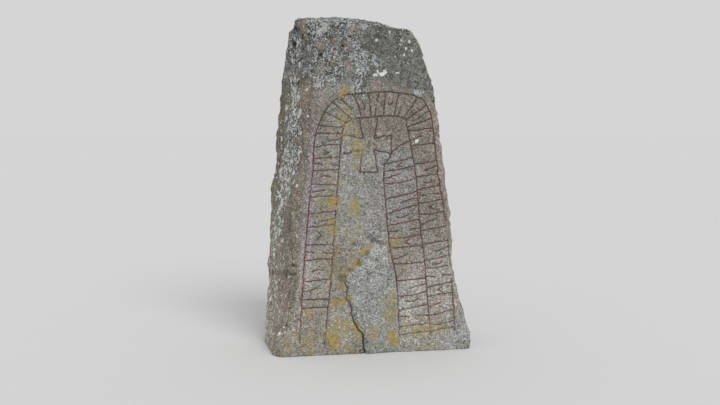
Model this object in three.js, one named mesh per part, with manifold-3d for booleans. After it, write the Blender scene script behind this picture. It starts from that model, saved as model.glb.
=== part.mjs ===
// A standing rune stone: one tapering block of weathered granite, cut off flat where it meets the
// ground. A carved band climbs the left of its face, arches over a cross and comes down on the right,
// where a second, shorter band runs beside it. Rows of plain strokes fill the bands.
//
// Millimetres, +Z up. The carved face looks towards -Y, and the origin is under the middle of the stone.

import * as THREE from "three";
import Module from "manifold-3d";
import { mergeVertices } from "three/addons/utils/BufferGeometryUtils.js";

// Driving sizes of the block.
const HEIGHT = 1975;
const FACE_WIDTH = 1170; // the carved face at the ground, corner to corner
const DEPTH = 450; // front to back at the ground
const TOP_FALL = 52; // how much lower the top edge is at its right end
const TOP_BACK_FALL = 60; // how much the top falls from the face to the back
const TOP_DOME = 22; // how far the middle of the top stands above its rim

// Edges, each as the distance from the sharp corner at which the rounding starts.
const FACE_LEFT_ROUND = 12;
const FACE_RIGHT_ROUND = 42;
const BACK_ROUND = 85;
const CHAMFER_ROUND = 22;
const CHAMFER_WIDTH = 45; // the broken left arris: how far it reaches sideways
const CHAMFER_DEPTH = 52; // and how far back
const TOP_ROUND = 24;
const FOOT_ROUND = 8;

// Unevenness of the rock, as the most that it moves the surface in or out.
const FACE_UNEVEN = 5;
const SIDE_UNEVEN = 13;

// The raised patch low on the face, the hollow above it and the crack at its left.
const PATCH_RISE = 13; // at its left rim, from where it sinks back into the face
const PATCH_SINK = 7; // how far the patch's slope would end below the face, past its right rim
const PATCH_BEVEL = 26; // width of the slope along the patch's rim
const PATCH_ROOT = 60; // how far the patch's solid reaches back into the block
const HOLLOW_DEPTH = 11;
const HOLLOW_RADIUS = 110;
const CRACK_WIDTH = 15;
const CRACK_DEPTH = 20;

// Carving tools' marks.
const LINE_WIDTH = 13;
const LINE_DEPTH = 5;
const STROKE_WIDTH = 11;
const STROKE_DEPTH = 4.5;
const PIT_RADIUS = 6.5;
const PIT_DEPTH = 5;
const PIT_SIDES = 5;
const STROKE_WANDER = 0.22; // how far a stroke strays from its even place, as a share of the spacing
const STROKE_LEAN = 0.07; // how far its inner end leans over, as a share of its length
const STROKE_BOW = 0.1; // how far a bent stroke is bowed, as a share of its length
const STROKES_PER_BOW = 4; // one stroke in so many is a bent one

// How finely the block is faceted.
const LEVELS = 22;
const ARRIS_STEPS = 2;
const FACE_COLUMNS = 10;
const RIGHT_COLUMNS = 3;
const BACK_COLUMNS = 7;
const LEFT_COLUMNS = 3;
const CHAMFER_COLUMNS = 1;
const CAP_RINGS = [0.8, 0.52, 0.24]; // rings of the top, as shares of its outline
const GROOVE_STEP = 95; // stations along a groove are at most this far apart
const BOW_STEPS = 3;
const WELD = 1e-4; // points closer than this are one

// Sections up the stone: the height as a share, then the places of the corners across, as shares of
// FACE_WIDTH, and of the face and the back, as shares of DEPTH.
const SECTIONS = [
  { up: 0.0, left: -0.494, right: 0.506, backRight: 0.462, backLeft: -0.572, face: -0.5, back: 0.5 },
  { up: 0.05, left: -0.48, right: 0.494, backRight: 0.45, backLeft: -0.572, face: -0.5, back: 0.5 },
  { up: 0.1, left: -0.459, right: 0.473, backRight: 0.43, backLeft: -0.566, face: -0.499, back: 0.498 },
  { up: 0.16, left: -0.432, right: 0.444, backRight: 0.405, backLeft: -0.557, face: -0.496, back: 0.496 },
  { up: 0.24, left: -0.415, right: 0.414, backRight: 0.378, backLeft: -0.552, face: -0.493, back: 0.491 },
  { up: 0.33, left: -0.403, right: 0.391, backRight: 0.352, backLeft: -0.545, face: -0.488, back: 0.484 },
  { up: 0.45, left: -0.384, right: 0.381, backRight: 0.33, backLeft: -0.537, face: -0.481, back: 0.472 },
  { up: 0.56, left: -0.365, right: 0.357, backRight: 0.302, backLeft: -0.52, face: -0.472, back: 0.455 },
  { up: 0.68, left: -0.341, right: 0.332, backRight: 0.274, backLeft: -0.499, face: -0.461, back: 0.43 },
  { up: 0.8, left: -0.328, right: 0.303, backRight: 0.24, backLeft: -0.483, face: -0.449, back: 0.395 },
  { up: 0.9, left: -0.335, right: 0.252, backRight: 0.19, backLeft: -0.459, face: -0.432, back: 0.355 },
  { up: 0.96, left: -0.352, right: 0.216, backRight: 0.155, backLeft: -0.44, face: -0.418, back: 0.318 },
  { up: 1.0, left: -0.366, right: 0.18, backRight: 0.125, backLeft: -0.424, face: -0.402, back: 0.285 },
];
const TOP_FALL_FROM = -0.18; // where the top edge starts to fall, as a share of FACE_WIDTH
const TOP_FALL_TO = 0.14;

// Waves that make the rock uneven: waves over the height, the width and the depth, a phase and a weight.
const WAVES = [
  [2.3, 1.1, 0.4, 0.3, 0.3],
  [3.1, -2.2, 0.9, 2.1, 0.25],
  [5.2, 2.9, -1.7, 4.4, 0.2],
  [7.9, -4.3, 2.6, 1.2, 0.15],
  [11.3, 5.1, 3.4, 5.3, 0.1],
];

// The carving is drawn on the face, across in shares of FACE_WIDTH and up in shares of HEIGHT.
// The band's rungs from its left foot, over the arch, to its right foot: [outer line, inner line].
const BAND = [
  [[-0.402, 0.034], [-0.276, 0.03]],
  [[-0.386, 0.19], [-0.247, 0.192]],
  [[-0.361, 0.375], [-0.222, 0.377]],
  [[-0.331, 0.545], [-0.2, 0.545]],
  [[-0.307, 0.672], [-0.177, 0.672]],
  [[-0.214, 0.761], [-0.128, 0.704]],
  [[-0.054, 0.78], [-0.044, 0.71]],
  [[0.1, 0.782], [0.07, 0.713]],
  [[0.238, 0.757], [0.139, 0.703]],
  [[0.284, 0.672], [0.158, 0.66]],
  [[0.308, 0.546], [0.196, 0.533]],
  [[0.341, 0.432], [0.212, 0.419]],
  [[0.373, 0.3], [0.239, 0.286]],
  [[0.389, 0.18], [0.257, 0.166]],
  [[0.405, 0.06], [0.275, 0.048]],
];
// The second band's left line, which starts at the cross, and the rung of BAND at whose inner end each
// of its own rungs meets the inner line.
const SECOND_BAND = [
  { at: [0.068, 0.602], meets: 9.2 },
  { at: [0.052, 0.583], meets: 9.38 },
  { at: [0.031, 0.566], meets: 9.57 },
  { at: [0.031, 0.51], meets: 10.05 },
  { at: [0.046, 0.4], meets: 11.0 },
  { at: [0.06, 0.325], meets: 11.6 },
  { at: [0.093, 0.225], meets: 12.42 },
  { at: [0.105, 0.13], meets: 13.2 },
  { at: [0.11, 0.045], meets: 13.95 },
];
// Rows of strokes: the stretch of rungs, the number of strokes and a number that varies the marks.
const ROWS = [
  { band: "main", from: 0.95, to: 4.15, strokes: 13, variant: 0 },
  { band: "main", from: 4.45, to: 8.6, strokes: 9, variant: 1 },
  { band: "main", from: 9.0, to: 13.7, strokes: 15, variant: 2 },
  { band: "second", from: 2.0, to: 7.45, strokes: 13, variant: 3 },
];
// Strokes that close a band: at the left foot, at both right feet and, bowed, from the cross.
const CLOSINGS = [
  { band: "main", rung: 0.75, bow: 0 },
  { band: "main", rung: 13.85, bow: 0 },
  { band: "second", rung: 7.85, bow: 0 },
  { band: "second", rung: 0, bow: -0.14 },
];

// The cross: its middle, and its sizes as shares of FACE_WIDTH. Two arms end on the band's inner line,
// the other two in a stroke of their own, and each has a pit in both corners of its end.
const CROSS = { across: -0.048, up: 0.63, waist: 0.029, flare: 0.047, pitInset: 0.021 };
const CROSS_ARMS = [
  { turn: 0, reach: 0.116, ended: true },
  { turn: 1, reach: 0.128, ended: false },
  { turn: 2, reach: 0.127, ended: false },
  { turn: 3, reach: 0.14, ended: true },
];

// Rim of the raised patch, from the ground up its left side, along the crack, over the ledge and down
// the right, where the patch has sunk back into the face.
const PATCH_RIM = [
  [-0.06, -0.05],
  [-0.072, 0.053],
  [-0.106, 0.085],
  [-0.13, 0.125],
  [-0.142, 0.2],
  [-0.158, 0.242],
  [-0.122, 0.262],
  [-0.085, 0.277],
  [-0.047, 0.312],
  [-0.008, 0.327],
  [0.05, 0.326],
  [0.2, 0.29],
  [0.2, -0.05],
];
const CRACK_POINTS = 6; // the crack follows the rim's first points
const PATCH_LEVEL_TO = -0.02; // across, where the patch starts to sink and where it ends
const PATCH_SUNK_FROM = 0.15;
const HOLLOW_AT = [0.004, 0.362];

// How squarely a wall must look forward, as the cosine of its turn, to start and to fully be the face.
const FACING_FROM = 0.6;
const FACING_FULL = 0.98;

const GRANITE = { color: 0x8c867c, roughness: 0.95, metalness: 0 };

const wasm = await Module();
wasm.setup();

const lerp = THREE.MathUtils.lerp;
const smoothstep = THREE.MathUtils.smoothstep;

/** A number from -1 to 1 that is fixed by its two whole-number arguments. */
function vary(i, k) {
  const v = Math.sin(i * 127.1 + k * 311.7) * 43758.5453;
  return (v - Math.floor(v)) * 2 - 1;
}

/** A point of the face in millimetres, from its shares across and up. */
function onFaceSheet([across, up]) {
  return new THREE.Vector2(across * FACE_WIDTH, up * HEIGHT);
}

/** The smooth value of one column of SECTIONS at a height share. */
function sectionValue(name, up) {
  const last = SECTIONS.length - 1;
  let i = 0;
  while (i < last - 1 && SECTIONS[i + 1].up < up) i += 1;
  const [a, b] = [SECTIONS[i], SECTIONS[i + 1]];
  const before = SECTIONS[Math.max(i - 1, 0)];
  const after = SECTIONS[Math.min(i + 2, last)];
  const span = b.up - a.up;
  const leave = ((b[name] - before[name]) / (b.up - before.up)) * span;
  const arrive = ((after[name] - a[name]) / (after.up - a.up)) * span;
  const t = (up - a.up) / span;
  const t2 = t * t;
  const t3 = t2 * t;
  return (
    (2 * t3 - 3 * t2 + 1) * a[name] +
    (t3 - 2 * t2 + t) * leave +
    (3 * t2 - 2 * t3) * b[name] +
    (t3 - t2) * arrive
  );
}

/** The five corners of the section at a height share, in order round the stone from the face's left. */
function cornersAt(up) {
  const left = sectionValue("left", up) * FACE_WIDTH;
  const face = sectionValue("face", up) * DEPTH;
  const back = sectionValue("back", up) * DEPTH;
  const place = (x, y, round, columns) => ({ at: new THREE.Vector2(x, y), round, columns });
  return [
    place(left, face, FACE_LEFT_ROUND, FACE_COLUMNS),
    place(sectionValue("right", up) * FACE_WIDTH, face, FACE_RIGHT_ROUND, RIGHT_COLUMNS),
    place(sectionValue("backRight", up) * FACE_WIDTH, back, BACK_ROUND, BACK_COLUMNS),
    place(sectionValue("backLeft", up) * FACE_WIDTH, back, BACK_ROUND, LEFT_COLUMNS),
    place(left - CHAMFER_WIDTH, face + CHAMFER_DEPTH, CHAMFER_ROUND, CHAMFER_COLUMNS),
  ];
}

/** The outline of the section at a height share, with its corners rounded and its sides divided. */
function outlineAt(up) {
  const corners = cornersAt(up);
  const n = corners.length;
  const arcs = corners.map(({ at, round }, i) => {
    const towards = (other) => other.at.clone().sub(at).setLength(round).add(at);
    const arc = new THREE.QuadraticBezierCurve(
      towards(corners[(i + n - 1) % n]),
      at,
      towards(corners[(i + 1) % n]),
    );
    return arc.getPoints(ARRIS_STEPS);
  });
  return corners.flatMap(({ columns }, i) => {
    const start = arcs[i].at(-1);
    const end = arcs[(i + 1) % n][0];
    const side = [];
    for (let k = 1; k < columns; k += 1) side.push(start.clone().lerp(end, k / columns));
    return [...arcs[i], ...side];
  });
}

/** Height of the stone's top over a point of its plan. */
function topAt(x, y) {
  const right = smoothstep(x, TOP_FALL_FROM * FACE_WIDTH, TOP_FALL_TO * FACE_WIDTH);
  const back = smoothstep(y, -DEPTH / 2, DEPTH / 2);
  return HEIGHT - TOP_FALL * right - TOP_BACK_FALL * back;
}

/** Unevenness of the rock at a point, from -1 to 1. */
function unevenAt(x, y, z) {
  return WAVES.reduce((sum, [tall, wide, deep, phase, weight]) => {
    const turns = (tall * z) / HEIGHT + (wide * x) / FACE_WIDTH + (deep * y) / DEPTH;
    return sum + weight * Math.sin(2 * Math.PI * turns + phase);
  }, 0);
}

/** How far the hollow draws the face in, at a place on it. */
function hollowAt(x, z) {
  const distance = onFaceSheet(HOLLOW_AT).distanceTo(new THREE.Vector2(x, z));
  return HOLLOW_DEPTH * (smoothstep(distance, 0, HOLLOW_RADIUS) - 1);
}

/** How far the raised patch stands out, as if it covered the whole face. */
function patchAt(x) {
  const sunk = smoothstep(x, PATCH_LEVEL_TO * FACE_WIDTH, PATCH_SUNK_FROM * FACE_WIDTH);
  return lerp(PATCH_RISE, -PATCH_SINK, sunk);
}

/** One ring of the block at a height share, with a relief on its face. */
function ringAt(up, reliefAt) {
  const outline = outlineAt(up);
  const n = outline.length;
  return outline.map((p, i) => {
    const along = outline[(i + 1) % n].clone().sub(outline[(i + n - 1) % n]).normalize();
    const out = new THREE.Vector2(along.y, -along.x);
    const top = topAt(p.x, p.y);
    const z = up * top;
    const facing = smoothstep(-out.y, FACING_FROM, FACING_FULL);
    const uneven = lerp(SIDE_UNEVEN, FACE_UNEVEN, facing) * unevenAt(p.x, p.y, z);
    const rolled = roll(top - z, TOP_ROUND) + roll(z, FOOT_ROUND);
    const q = p.clone().addScaledVector(out, uneven + facing * reliefAt(p.x, z) - rolled);
    return new THREE.Vector3(q.x, q.y, z);
  });
}

/** How far a quarter round of a radius has drawn in, at a distance from its flat end. */
function roll(distance, radius) {
  if (distance >= radius) return 0;
  const rise = 1 - distance / radius;
  return radius * (1 - Math.sqrt(1 - rise * rise));
}

/** Height shares of the rings: close together in the two rounded ends and even between them. */
function levels() {
  const foot = [0, 0.25, 1].map((share) => (share * FOOT_ROUND) / HEIGHT);
  const rim = [1, 0.4, 0.1, 0].map((share) => 1 - (share * TOP_ROUND) / HEIGHT);
  const between = [];
  for (let i = 1; i < LEVELS; i += 1) between.push(lerp(foot.at(-1), rim[0], i / LEVELS));
  return [...foot, ...between, ...rim];
}

/** Rings of the uneven top inside its rim, ending at one middle point. */
function capRings(rim) {
  const middle = rim.reduce((sum, p) => sum.add(p), new THREE.Vector3()).divideScalar(rim.length);
  const lift = (share, p) => {
    const dome = TOP_DOME * (1 - share * share);
    p.z = topAt(p.x, p.y) + dome + SIDE_UNEVEN * (1 - share) * unevenAt(p.x, p.y, HEIGHT);
    return p;
  };
  const rings = CAP_RINGS.map((share) => rim.map((p) => lift(share, middle.clone().lerp(p, share))));
  return { rings, middle: lift(0, middle) };
}

/** The block as an indexed geometry, with a relief on its face. */
function blockGeometry(reliefAt) {
  const wall = levels().map((up) => ringAt(up, reliefAt));
  const cap = capRings(wall.at(-1));
  const rings = [...wall, ...cap.rings];
  const n = rings[0].length;
  const points = [...rings.flat(), cap.middle, new THREE.Vector3(0, 0, 0)];
  const crown = points.length - 2;
  const foot = points.length - 1;
  const index = [];
  for (let j = 0; j + 1 < rings.length; j += 1) {
    for (let i = 0; i < n; i += 1) {
      const [a, b] = [j * n + i, j * n + ((i + 1) % n)];
      index.push(a, b, b + n, a, b + n, a + n);
    }
  }
  for (let i = 0; i < n; i += 1) {
    const last = (rings.length - 1) * n;
    index.push(last + i, last + ((i + 1) % n), crown);
    index.push((i + 1) % n, i, foot);
  }
  const geometry = new THREE.BufferGeometry().setFromPoints(points);
  geometry.setIndex(index);
  return geometry;
}

/** A solid of the CSG library from a closed geometry. */
function toSolid(geometry) {
  geometry.deleteAttribute("normal");
  geometry.deleteAttribute("uv");
  const merged = mergeVertices(geometry, WELD);
  return new wasm.Manifold(
    new wasm.Mesh({
      numProp: 3,
      vertProperties: merged.attributes.position.array,
      triVerts: new Uint32Array(merged.index.array),
    }),
  );
}

/** A geometry from a solid of the CSG library. */
function toGeometry(solid) {
  const { vertProperties, triVerts } = solid.getMesh();
  const geometry = new THREE.BufferGeometry();
  geometry.setAttribute("position", new THREE.BufferAttribute(vertProperties, 3));
  geometry.setIndex(new THREE.BufferAttribute(triVerts, 1));
  return geometry;
}

/** Divides a path so that no two stations are further apart than GROOVE_STEP. */
function divided(path) {
  const stations = [path[0]];
  for (let i = 1; i < path.length; i += 1) {
    const steps = Math.ceil(path[i].distanceTo(path[i - 1]) / GROOVE_STEP);
    for (let k = 1; k <= steps; k += 1) stations.push(path[i - 1].clone().lerp(path[i], k / steps));
  }
  return stations;
}

/**
 * The V-shaped tool that cuts a groove along a path of the face, as wide and deep as told. It stands out
 * of the face by the groove's depth, where it is twice as wide as the groove.
 */
function grooveTool(path, width, depth, faceAt) {
  const stations = divided(path);
  const last = stations.length - 1;
  const points = [];
  const index = [];
  stations.forEach((at, i) => {
    const along = stations[Math.min(i + 1, last)].clone().sub(stations[Math.max(i - 1, 0)]).normalize();
    const side = new THREE.Vector2(-along.y, along.x).multiplyScalar(width);
    const face = faceAt(at.x, at.y);
    points.push(new THREE.Vector3(at.x - side.x, face - depth, at.y - side.y));
    points.push(new THREE.Vector3(at.x, face + depth, at.y));
    points.push(new THREE.Vector3(at.x + side.x, face - depth, at.y + side.y));
    for (let a = 0; a < 3 && i < last; a += 1) {
      const [p, q] = [3 * i + a, 3 * i + ((a + 1) % 3)];
      index.push(p, q, q + 3, p, q + 3, p + 3);
    }
  });
  index.push(0, 2, 1, 3 * last, 3 * last + 1, 3 * last + 2);
  const geometry = new THREE.BufferGeometry().setFromPoints(points);
  geometry.setIndex(index);
  return toSolid(geometry);
}

/** The cone that cuts a round pit at a point of the face, standing half out of it. */
function pitTool(at, faceAt) {
  const cone = new THREE.ConeGeometry(2 * PIT_RADIUS, 2 * PIT_DEPTH, PIT_SIDES);
  cone.translate(at.x, faceAt(at.x, at.y), at.y);
  return toSolid(cone);
}

/** A smooth curve of the face through points given in shares. */
function faceCurve(points) {
  return new THREE.SplineCurve(points.map(onFaceSheet));
}

const bandLines = {
  outer: faceCurve(BAND.map(([outer]) => outer)),
  inner: faceCurve(BAND.map(([, inner]) => inner)),
  second: faceCurve(SECOND_BAND.map(({ at }) => at)),
};

/** Point of a band's line at a rung number, which need not be whole. */
function atRung(line, rung) {
  return line.getPoint(rung / (line.points.length - 1));
}

/** The two ends of a stroke across a band at a rung number, the right or outer one first. */
function rungEnds(band, rung) {
  if (band === "main") return [atRung(bandLines.outer, rung), atRung(bandLines.inner, rung)];
  const low = Math.min(Math.floor(rung), SECOND_BAND.length - 2);
  const meets = lerp(SECOND_BAND[low].meets, SECOND_BAND[low + 1].meets, rung - low);
  return [atRung(bandLines.inner, meets), atRung(bandLines.second, rung)];
}

/** A curved path between two points, bowed sideways by a share of its length, or a straight one. */
function bowed(a, b, share) {
  if (share === 0) return [a, b];
  const along = b.clone().sub(a);
  const middle = a.clone().lerp(b, 0.5).add(new THREE.Vector2(-along.y, along.x).multiplyScalar(share));
  return new THREE.QuadraticBezierCurve(a, middle, b).getPoints(BOW_STEPS);
}

/**
 * The marks that fill the space between two strokes, in turn: teeth from the band's lines, short and
 * leaning, and loose chevrons, bows and pits. None touches a stroke, and they spell nothing.
 */
const MARKS = [
  (at) => ({ paths: [[at(0, 0.42), at(0.56, 0.58)]] }),
  (at) => ({ pits: [at(0.36, 0.5), at(0.64, 0.5)] }),
  (at) => ({ paths: [[at(1, 0.58), at(0.5, 0.42)]] }),
  (at) => ({ paths: [[at(0.38, 0.27), at(0.56, 0.5), at(0.38, 0.73)]] }),
  (at) => ({ paths: [[at(0, 0.6), at(0.34, 0.5)], [at(1, 0.4), at(0.66, 0.5)]] }),
  (at) => ({ paths: [bowed(at(0.3, 0.5), at(0.7, 0.5), 0.25)] }),
];

/** The carving of one row: a long stroke at each place, and a mark in the space after it. */
function rowCarving({ band, from, to, strokes, variant }) {
  const place = (i) => lerp(from, to, (i + STROKE_WANDER * vary(i, variant)) / (strokes - 1));
  const carving = { paths: [], pits: [] };
  for (let i = 0; i < strokes; i += 1) {
    const [outer, inner] = rungEnds(band, place(i));
    const across = inner.clone().sub(outer);
    const aside = new THREE.Vector2(-across.y, across.x).multiplyScalar(STROKE_LEAN * vary(i, variant + 7));
    carving.paths.push(bowed(outer, inner.clone().add(aside), i % STROKES_PER_BOW === 2 ? STROKE_BOW : 0));
    if (i === strokes - 1) break;

    const [nextOuter, nextInner] = rungEnds(band, place(i + 1));
    const at = (share, over) =>
      outer.clone().lerp(inner, share).lerp(nextOuter.clone().lerp(nextInner, share), over);
    const { paths = [], pits = [] } = MARKS[(i * 5 + variant) % MARKS.length](at);
    carving.paths.push(...paths);
    carving.pits.push(...pits);
  }
  return carving;
}

/** The carving of the cross: each arm's two slanting sides and its end, where it has one, with pits. */
function crossCarving() {
  const middle = onFaceSheet([CROSS.across, CROSS.up]);
  const paths = [];
  const pits = [middle];
  for (const { turn, reach, ended } of CROSS_ARMS) {
    const place = (out, side) =>
      new THREE.Vector2(out, side)
        .multiplyScalar(FACE_WIDTH)
        .rotateAround(new THREE.Vector2(), (turn * Math.PI) / 2)
        .add(middle);
    for (const side of [-1, 1]) {
      paths.push([place(CROSS.waist, side * CROSS.waist), place(reach, side * CROSS.flare)]);
      pits.push(place(reach - CROSS.pitInset, side * (CROSS.flare - CROSS.pitInset)));
    }
    if (ended) paths.push([place(reach, -CROSS.flare), place(reach, CROSS.flare)]);
  }
  return { paths, pits };
}

/** All tools that carve the face, whose depth at a place faceAt gives. */
function carvingTools(faceAt) {
  const line = (path) => grooveTool(path, LINE_WIDTH, LINE_DEPTH, faceAt);
  const stroke = (path) => grooveTool(path, STROKE_WIDTH, STROKE_DEPTH, faceAt);
  const pit = (at) => pitTool(at, faceAt);
  const rows = ROWS.map(rowCarving);
  const cross = crossCarving();
  return [
    ...Object.values(bandLines).map((curve) => line(curve.getPoints(curve.points.length * 2))),
    ...CLOSINGS.map(({ band, rung, bow }) => line(bowed(...rungEnds(band, rung), bow))),
    ...cross.paths.map(line),
    ...rows.flatMap(({ paths }) => paths).map(stroke),
    ...[...cross.pits, ...rows.flatMap(({ pits }) => pits)].map(pit),
    grooveTool(PATCH_RIM.slice(0, CRACK_POINTS).map(onFaceSheet), CRACK_WIDTH, CRACK_DEPTH, faceAt),
  ];
}

/** The outline of the raised patch as a solid whose sides slope where they leave the face. */
function patchOutline() {
  const slope = 2 * PATCH_RISE;
  const prism = new THREE.ExtrudeGeometry(new THREE.Shape(PATCH_RIM.map(onFaceSheet)), {
    depth: PATCH_ROOT,
    bevelSegments: 1,
    bevelThickness: slope,
    bevelSize: PATCH_BEVEL,
    bevelOffset: -PATCH_BEVEL,
  });
  return prism.rotateX(Math.PI / 2).translate(0, PATCH_ROOT - DEPTH / 2 + slope / 2, 0);
}

/** The carved stone, with the middle of its underside at the origin. */
function carvedStone() {
  const face = toSolid(blockGeometry(hollowAt));
  const patch = toSolid(blockGeometry(patchAt)).intersect(toSolid(patchOutline()));
  const block = face.add(patch);

  const skin = new THREE.Mesh(toGeometry(block), new THREE.MeshBasicMaterial({ side: THREE.DoubleSide }));
  const probe = new THREE.Raycaster();
  const faceAt = (x, z) => {
    probe.set(new THREE.Vector3(x, -DEPTH, Math.max(z, FOOT_ROUND)), new THREE.Vector3(0, 1, 0));
    return probe.intersectObject(skin)[0].point.y;
  };
  const geometry = toGeometry(block.subtract(wasm.Manifold.union(carvingTools(faceAt))));
  geometry.computeBoundingBox();
  const middle = geometry.boundingBox.getCenter(new THREE.Vector3());
  geometry.translate(-middle.x, -middle.y, 0);
  geometry.computeVertexNormals();
  return geometry;
}

const stone = new THREE.Mesh(carvedStone(), new THREE.MeshStandardMaterial(GRANITE));
stone.name = "rune_stone";

const model = new THREE.Group();
model.add(stone);

export default model;
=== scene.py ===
"""A standing rune stone, dressed for rendering.

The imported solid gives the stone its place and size. One weathered stone stands for it: the same tapering
block, raised patch and carving, meshed finely enough for worn grooves, rough flanks and chipped edges,
and finished as grey-brown granite with several lichens and old red paint in its grooves. A plain floor,
soft lights and a camera complete the picture.

Lengths are in metres, +Z up. The carved face looks towards -Y.
"""

import logging
import math
from dataclasses import dataclass, field
from enum import Enum, IntEnum
from typing import Callable, NamedTuple, Sequence

import bpy
import numpy as np
from bpy.types import Material, Node, NodeSocket, Object
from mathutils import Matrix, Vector
from mathutils.geometry import delaunay_2d_cdt
from mathutils.kdtree import KDTree


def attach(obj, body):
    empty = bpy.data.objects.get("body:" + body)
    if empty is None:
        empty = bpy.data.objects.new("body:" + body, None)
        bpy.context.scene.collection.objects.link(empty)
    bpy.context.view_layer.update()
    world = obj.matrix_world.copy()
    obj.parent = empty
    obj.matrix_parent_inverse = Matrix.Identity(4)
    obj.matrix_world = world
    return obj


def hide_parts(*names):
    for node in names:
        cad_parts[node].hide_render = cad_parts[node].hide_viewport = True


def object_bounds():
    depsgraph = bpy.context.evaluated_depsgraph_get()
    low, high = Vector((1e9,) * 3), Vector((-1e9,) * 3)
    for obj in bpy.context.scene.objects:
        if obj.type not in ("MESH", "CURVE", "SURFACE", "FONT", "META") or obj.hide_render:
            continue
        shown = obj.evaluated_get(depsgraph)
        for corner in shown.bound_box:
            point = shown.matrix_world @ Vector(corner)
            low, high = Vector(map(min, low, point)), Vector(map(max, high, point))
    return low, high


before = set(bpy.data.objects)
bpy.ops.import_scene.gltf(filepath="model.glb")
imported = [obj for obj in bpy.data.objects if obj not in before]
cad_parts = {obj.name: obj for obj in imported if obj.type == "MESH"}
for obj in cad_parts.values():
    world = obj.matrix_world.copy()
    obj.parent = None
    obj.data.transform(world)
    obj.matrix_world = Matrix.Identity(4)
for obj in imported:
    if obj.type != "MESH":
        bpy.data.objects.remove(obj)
cad_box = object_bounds()

Array = np.ndarray
Colour = tuple[float, float, float]
Place = tuple[float, float, float]
log = logging.getLogger("rune_stone")


# Small helpers

def lerp(a: Array | float, b: Array | float, share: Array | float) -> Array:
    """The value a share of the way from a to b."""
    return a + (b - a) * share


def smooth(value: Array | float, low: float, high: float) -> Array:
    """Eases from 0 at low to 1 at high."""
    t = np.clip((value - low) / (high - low), 0, 1)
    return t * t * (3 - 2 * t)


def hermite(t: Array, start: Array, leave: Array, arrive: Array, end: Array) -> Array:
    """A curve from start to end as t goes from 0 to 1, with the slopes that it leaves and arrives with."""
    return (
        (2 * t**3 - 3 * t**2 + 1) * start
        + (t**3 - 2 * t**2 + t) * leave
        + (3 * t**2 - 2 * t**3) * end
        + (t**3 - t**2) * arrive
    )


SCATTER = (127.1, 311.7, 43758.5453)  # odd factors that make vary's results look random


def vary(i: int, k: int) -> float:
    """A number from -1 to 1 that is fixed by its two whole-number arguments."""
    v = math.sin(i * SCATTER[0] + k * SCATTER[1]) * SCATTER[2]
    return (v - math.floor(v)) * 2 - 1


class Seed(IntEnum):
    """Where the random draws of each kind of unevenness start."""

    SWELLS = 11
    FLAKES = 21
    PATCH = 41
    WAVER = 51
    GROWTH = 61
    BARE_PATCHES = 63
    SCAR = 71
    FACE_GRID = 81
    CAP_GRID = 83


class Waves:
    """Smooth noise: a sum of plane waves in all directions, each about one size long."""

    lengths = (0.7, 1.5)  # the shortest and the longest wave, in sizes

    def __init__(self, seed: int, size: float, count: int = 26) -> None:
        """Draws the waves.

        Args:
            seed: Fixes the draw.
            size: About the distance from one bump to the next.
            count: Number of waves.
        """
        draw = np.random.default_rng(seed)
        heading = draw.normal(size=(count, 3))
        heading /= np.linalg.norm(heading, axis=1, keepdims=True)
        length = size * draw.uniform(*self.lengths, count)
        self.turns = 2 * math.pi * heading / length[:, None]
        self.phases = draw.uniform(0, 2 * math.pi, count)

    def at(self, points: Array) -> Array:
        """The noise at points, mostly from -2 to 2 with a spread of 1."""
        return np.cos(points @ self.turns.T + self.phases).sum(axis=1) * math.sqrt(2 / len(self.phases))


# The block

class Section(NamedTuple):
    """One section of the stone: corners across as shares of the width, face and back of the depth."""

    up: float
    left: float
    right: float
    back_right: float
    back_left: float
    face: float
    back: float


SECTIONS = (
    Section(0.0, -0.494, 0.506, 0.462, -0.572, -0.5, 0.5),
    Section(0.05, -0.48, 0.494, 0.45, -0.572, -0.5, 0.5),
    Section(0.1, -0.459, 0.473, 0.43, -0.566, -0.499, 0.498),
    Section(0.16, -0.432, 0.444, 0.405, -0.557, -0.496, 0.496),
    Section(0.24, -0.415, 0.414, 0.378, -0.552, -0.493, 0.491),
    Section(0.33, -0.403, 0.391, 0.352, -0.545, -0.488, 0.484),
    Section(0.45, -0.384, 0.381, 0.33, -0.537, -0.481, 0.472),
    Section(0.56, -0.365, 0.357, 0.302, -0.52, -0.472, 0.455),
    Section(0.68, -0.341, 0.332, 0.274, -0.499, -0.461, 0.43),
    Section(0.8, -0.328, 0.303, 0.24, -0.483, -0.449, 0.395),
    Section(0.9, -0.335, 0.252, 0.19, -0.459, -0.432, 0.355),
    Section(0.96, -0.352, 0.216, 0.155, -0.44, -0.418, 0.318),
    Section(1.0, -0.366, 0.18, 0.125, -0.424, -0.402, 0.285),
)
# Waves of the block's unevenness: over the height, the width and the depth, a phase and a weight.
UNEVEN_WAVES = (
    (2.3, 1.1, 0.4, 0.3, 0.3),
    (3.1, -2.2, 0.9, 2.1, 0.25),
    (5.2, 2.9, -1.7, 4.4, 0.2),
    (7.9, -4.3, 2.6, 1.2, 0.15),
    (11.3, 5.1, 3.4, 5.3, 0.1),
)


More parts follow.
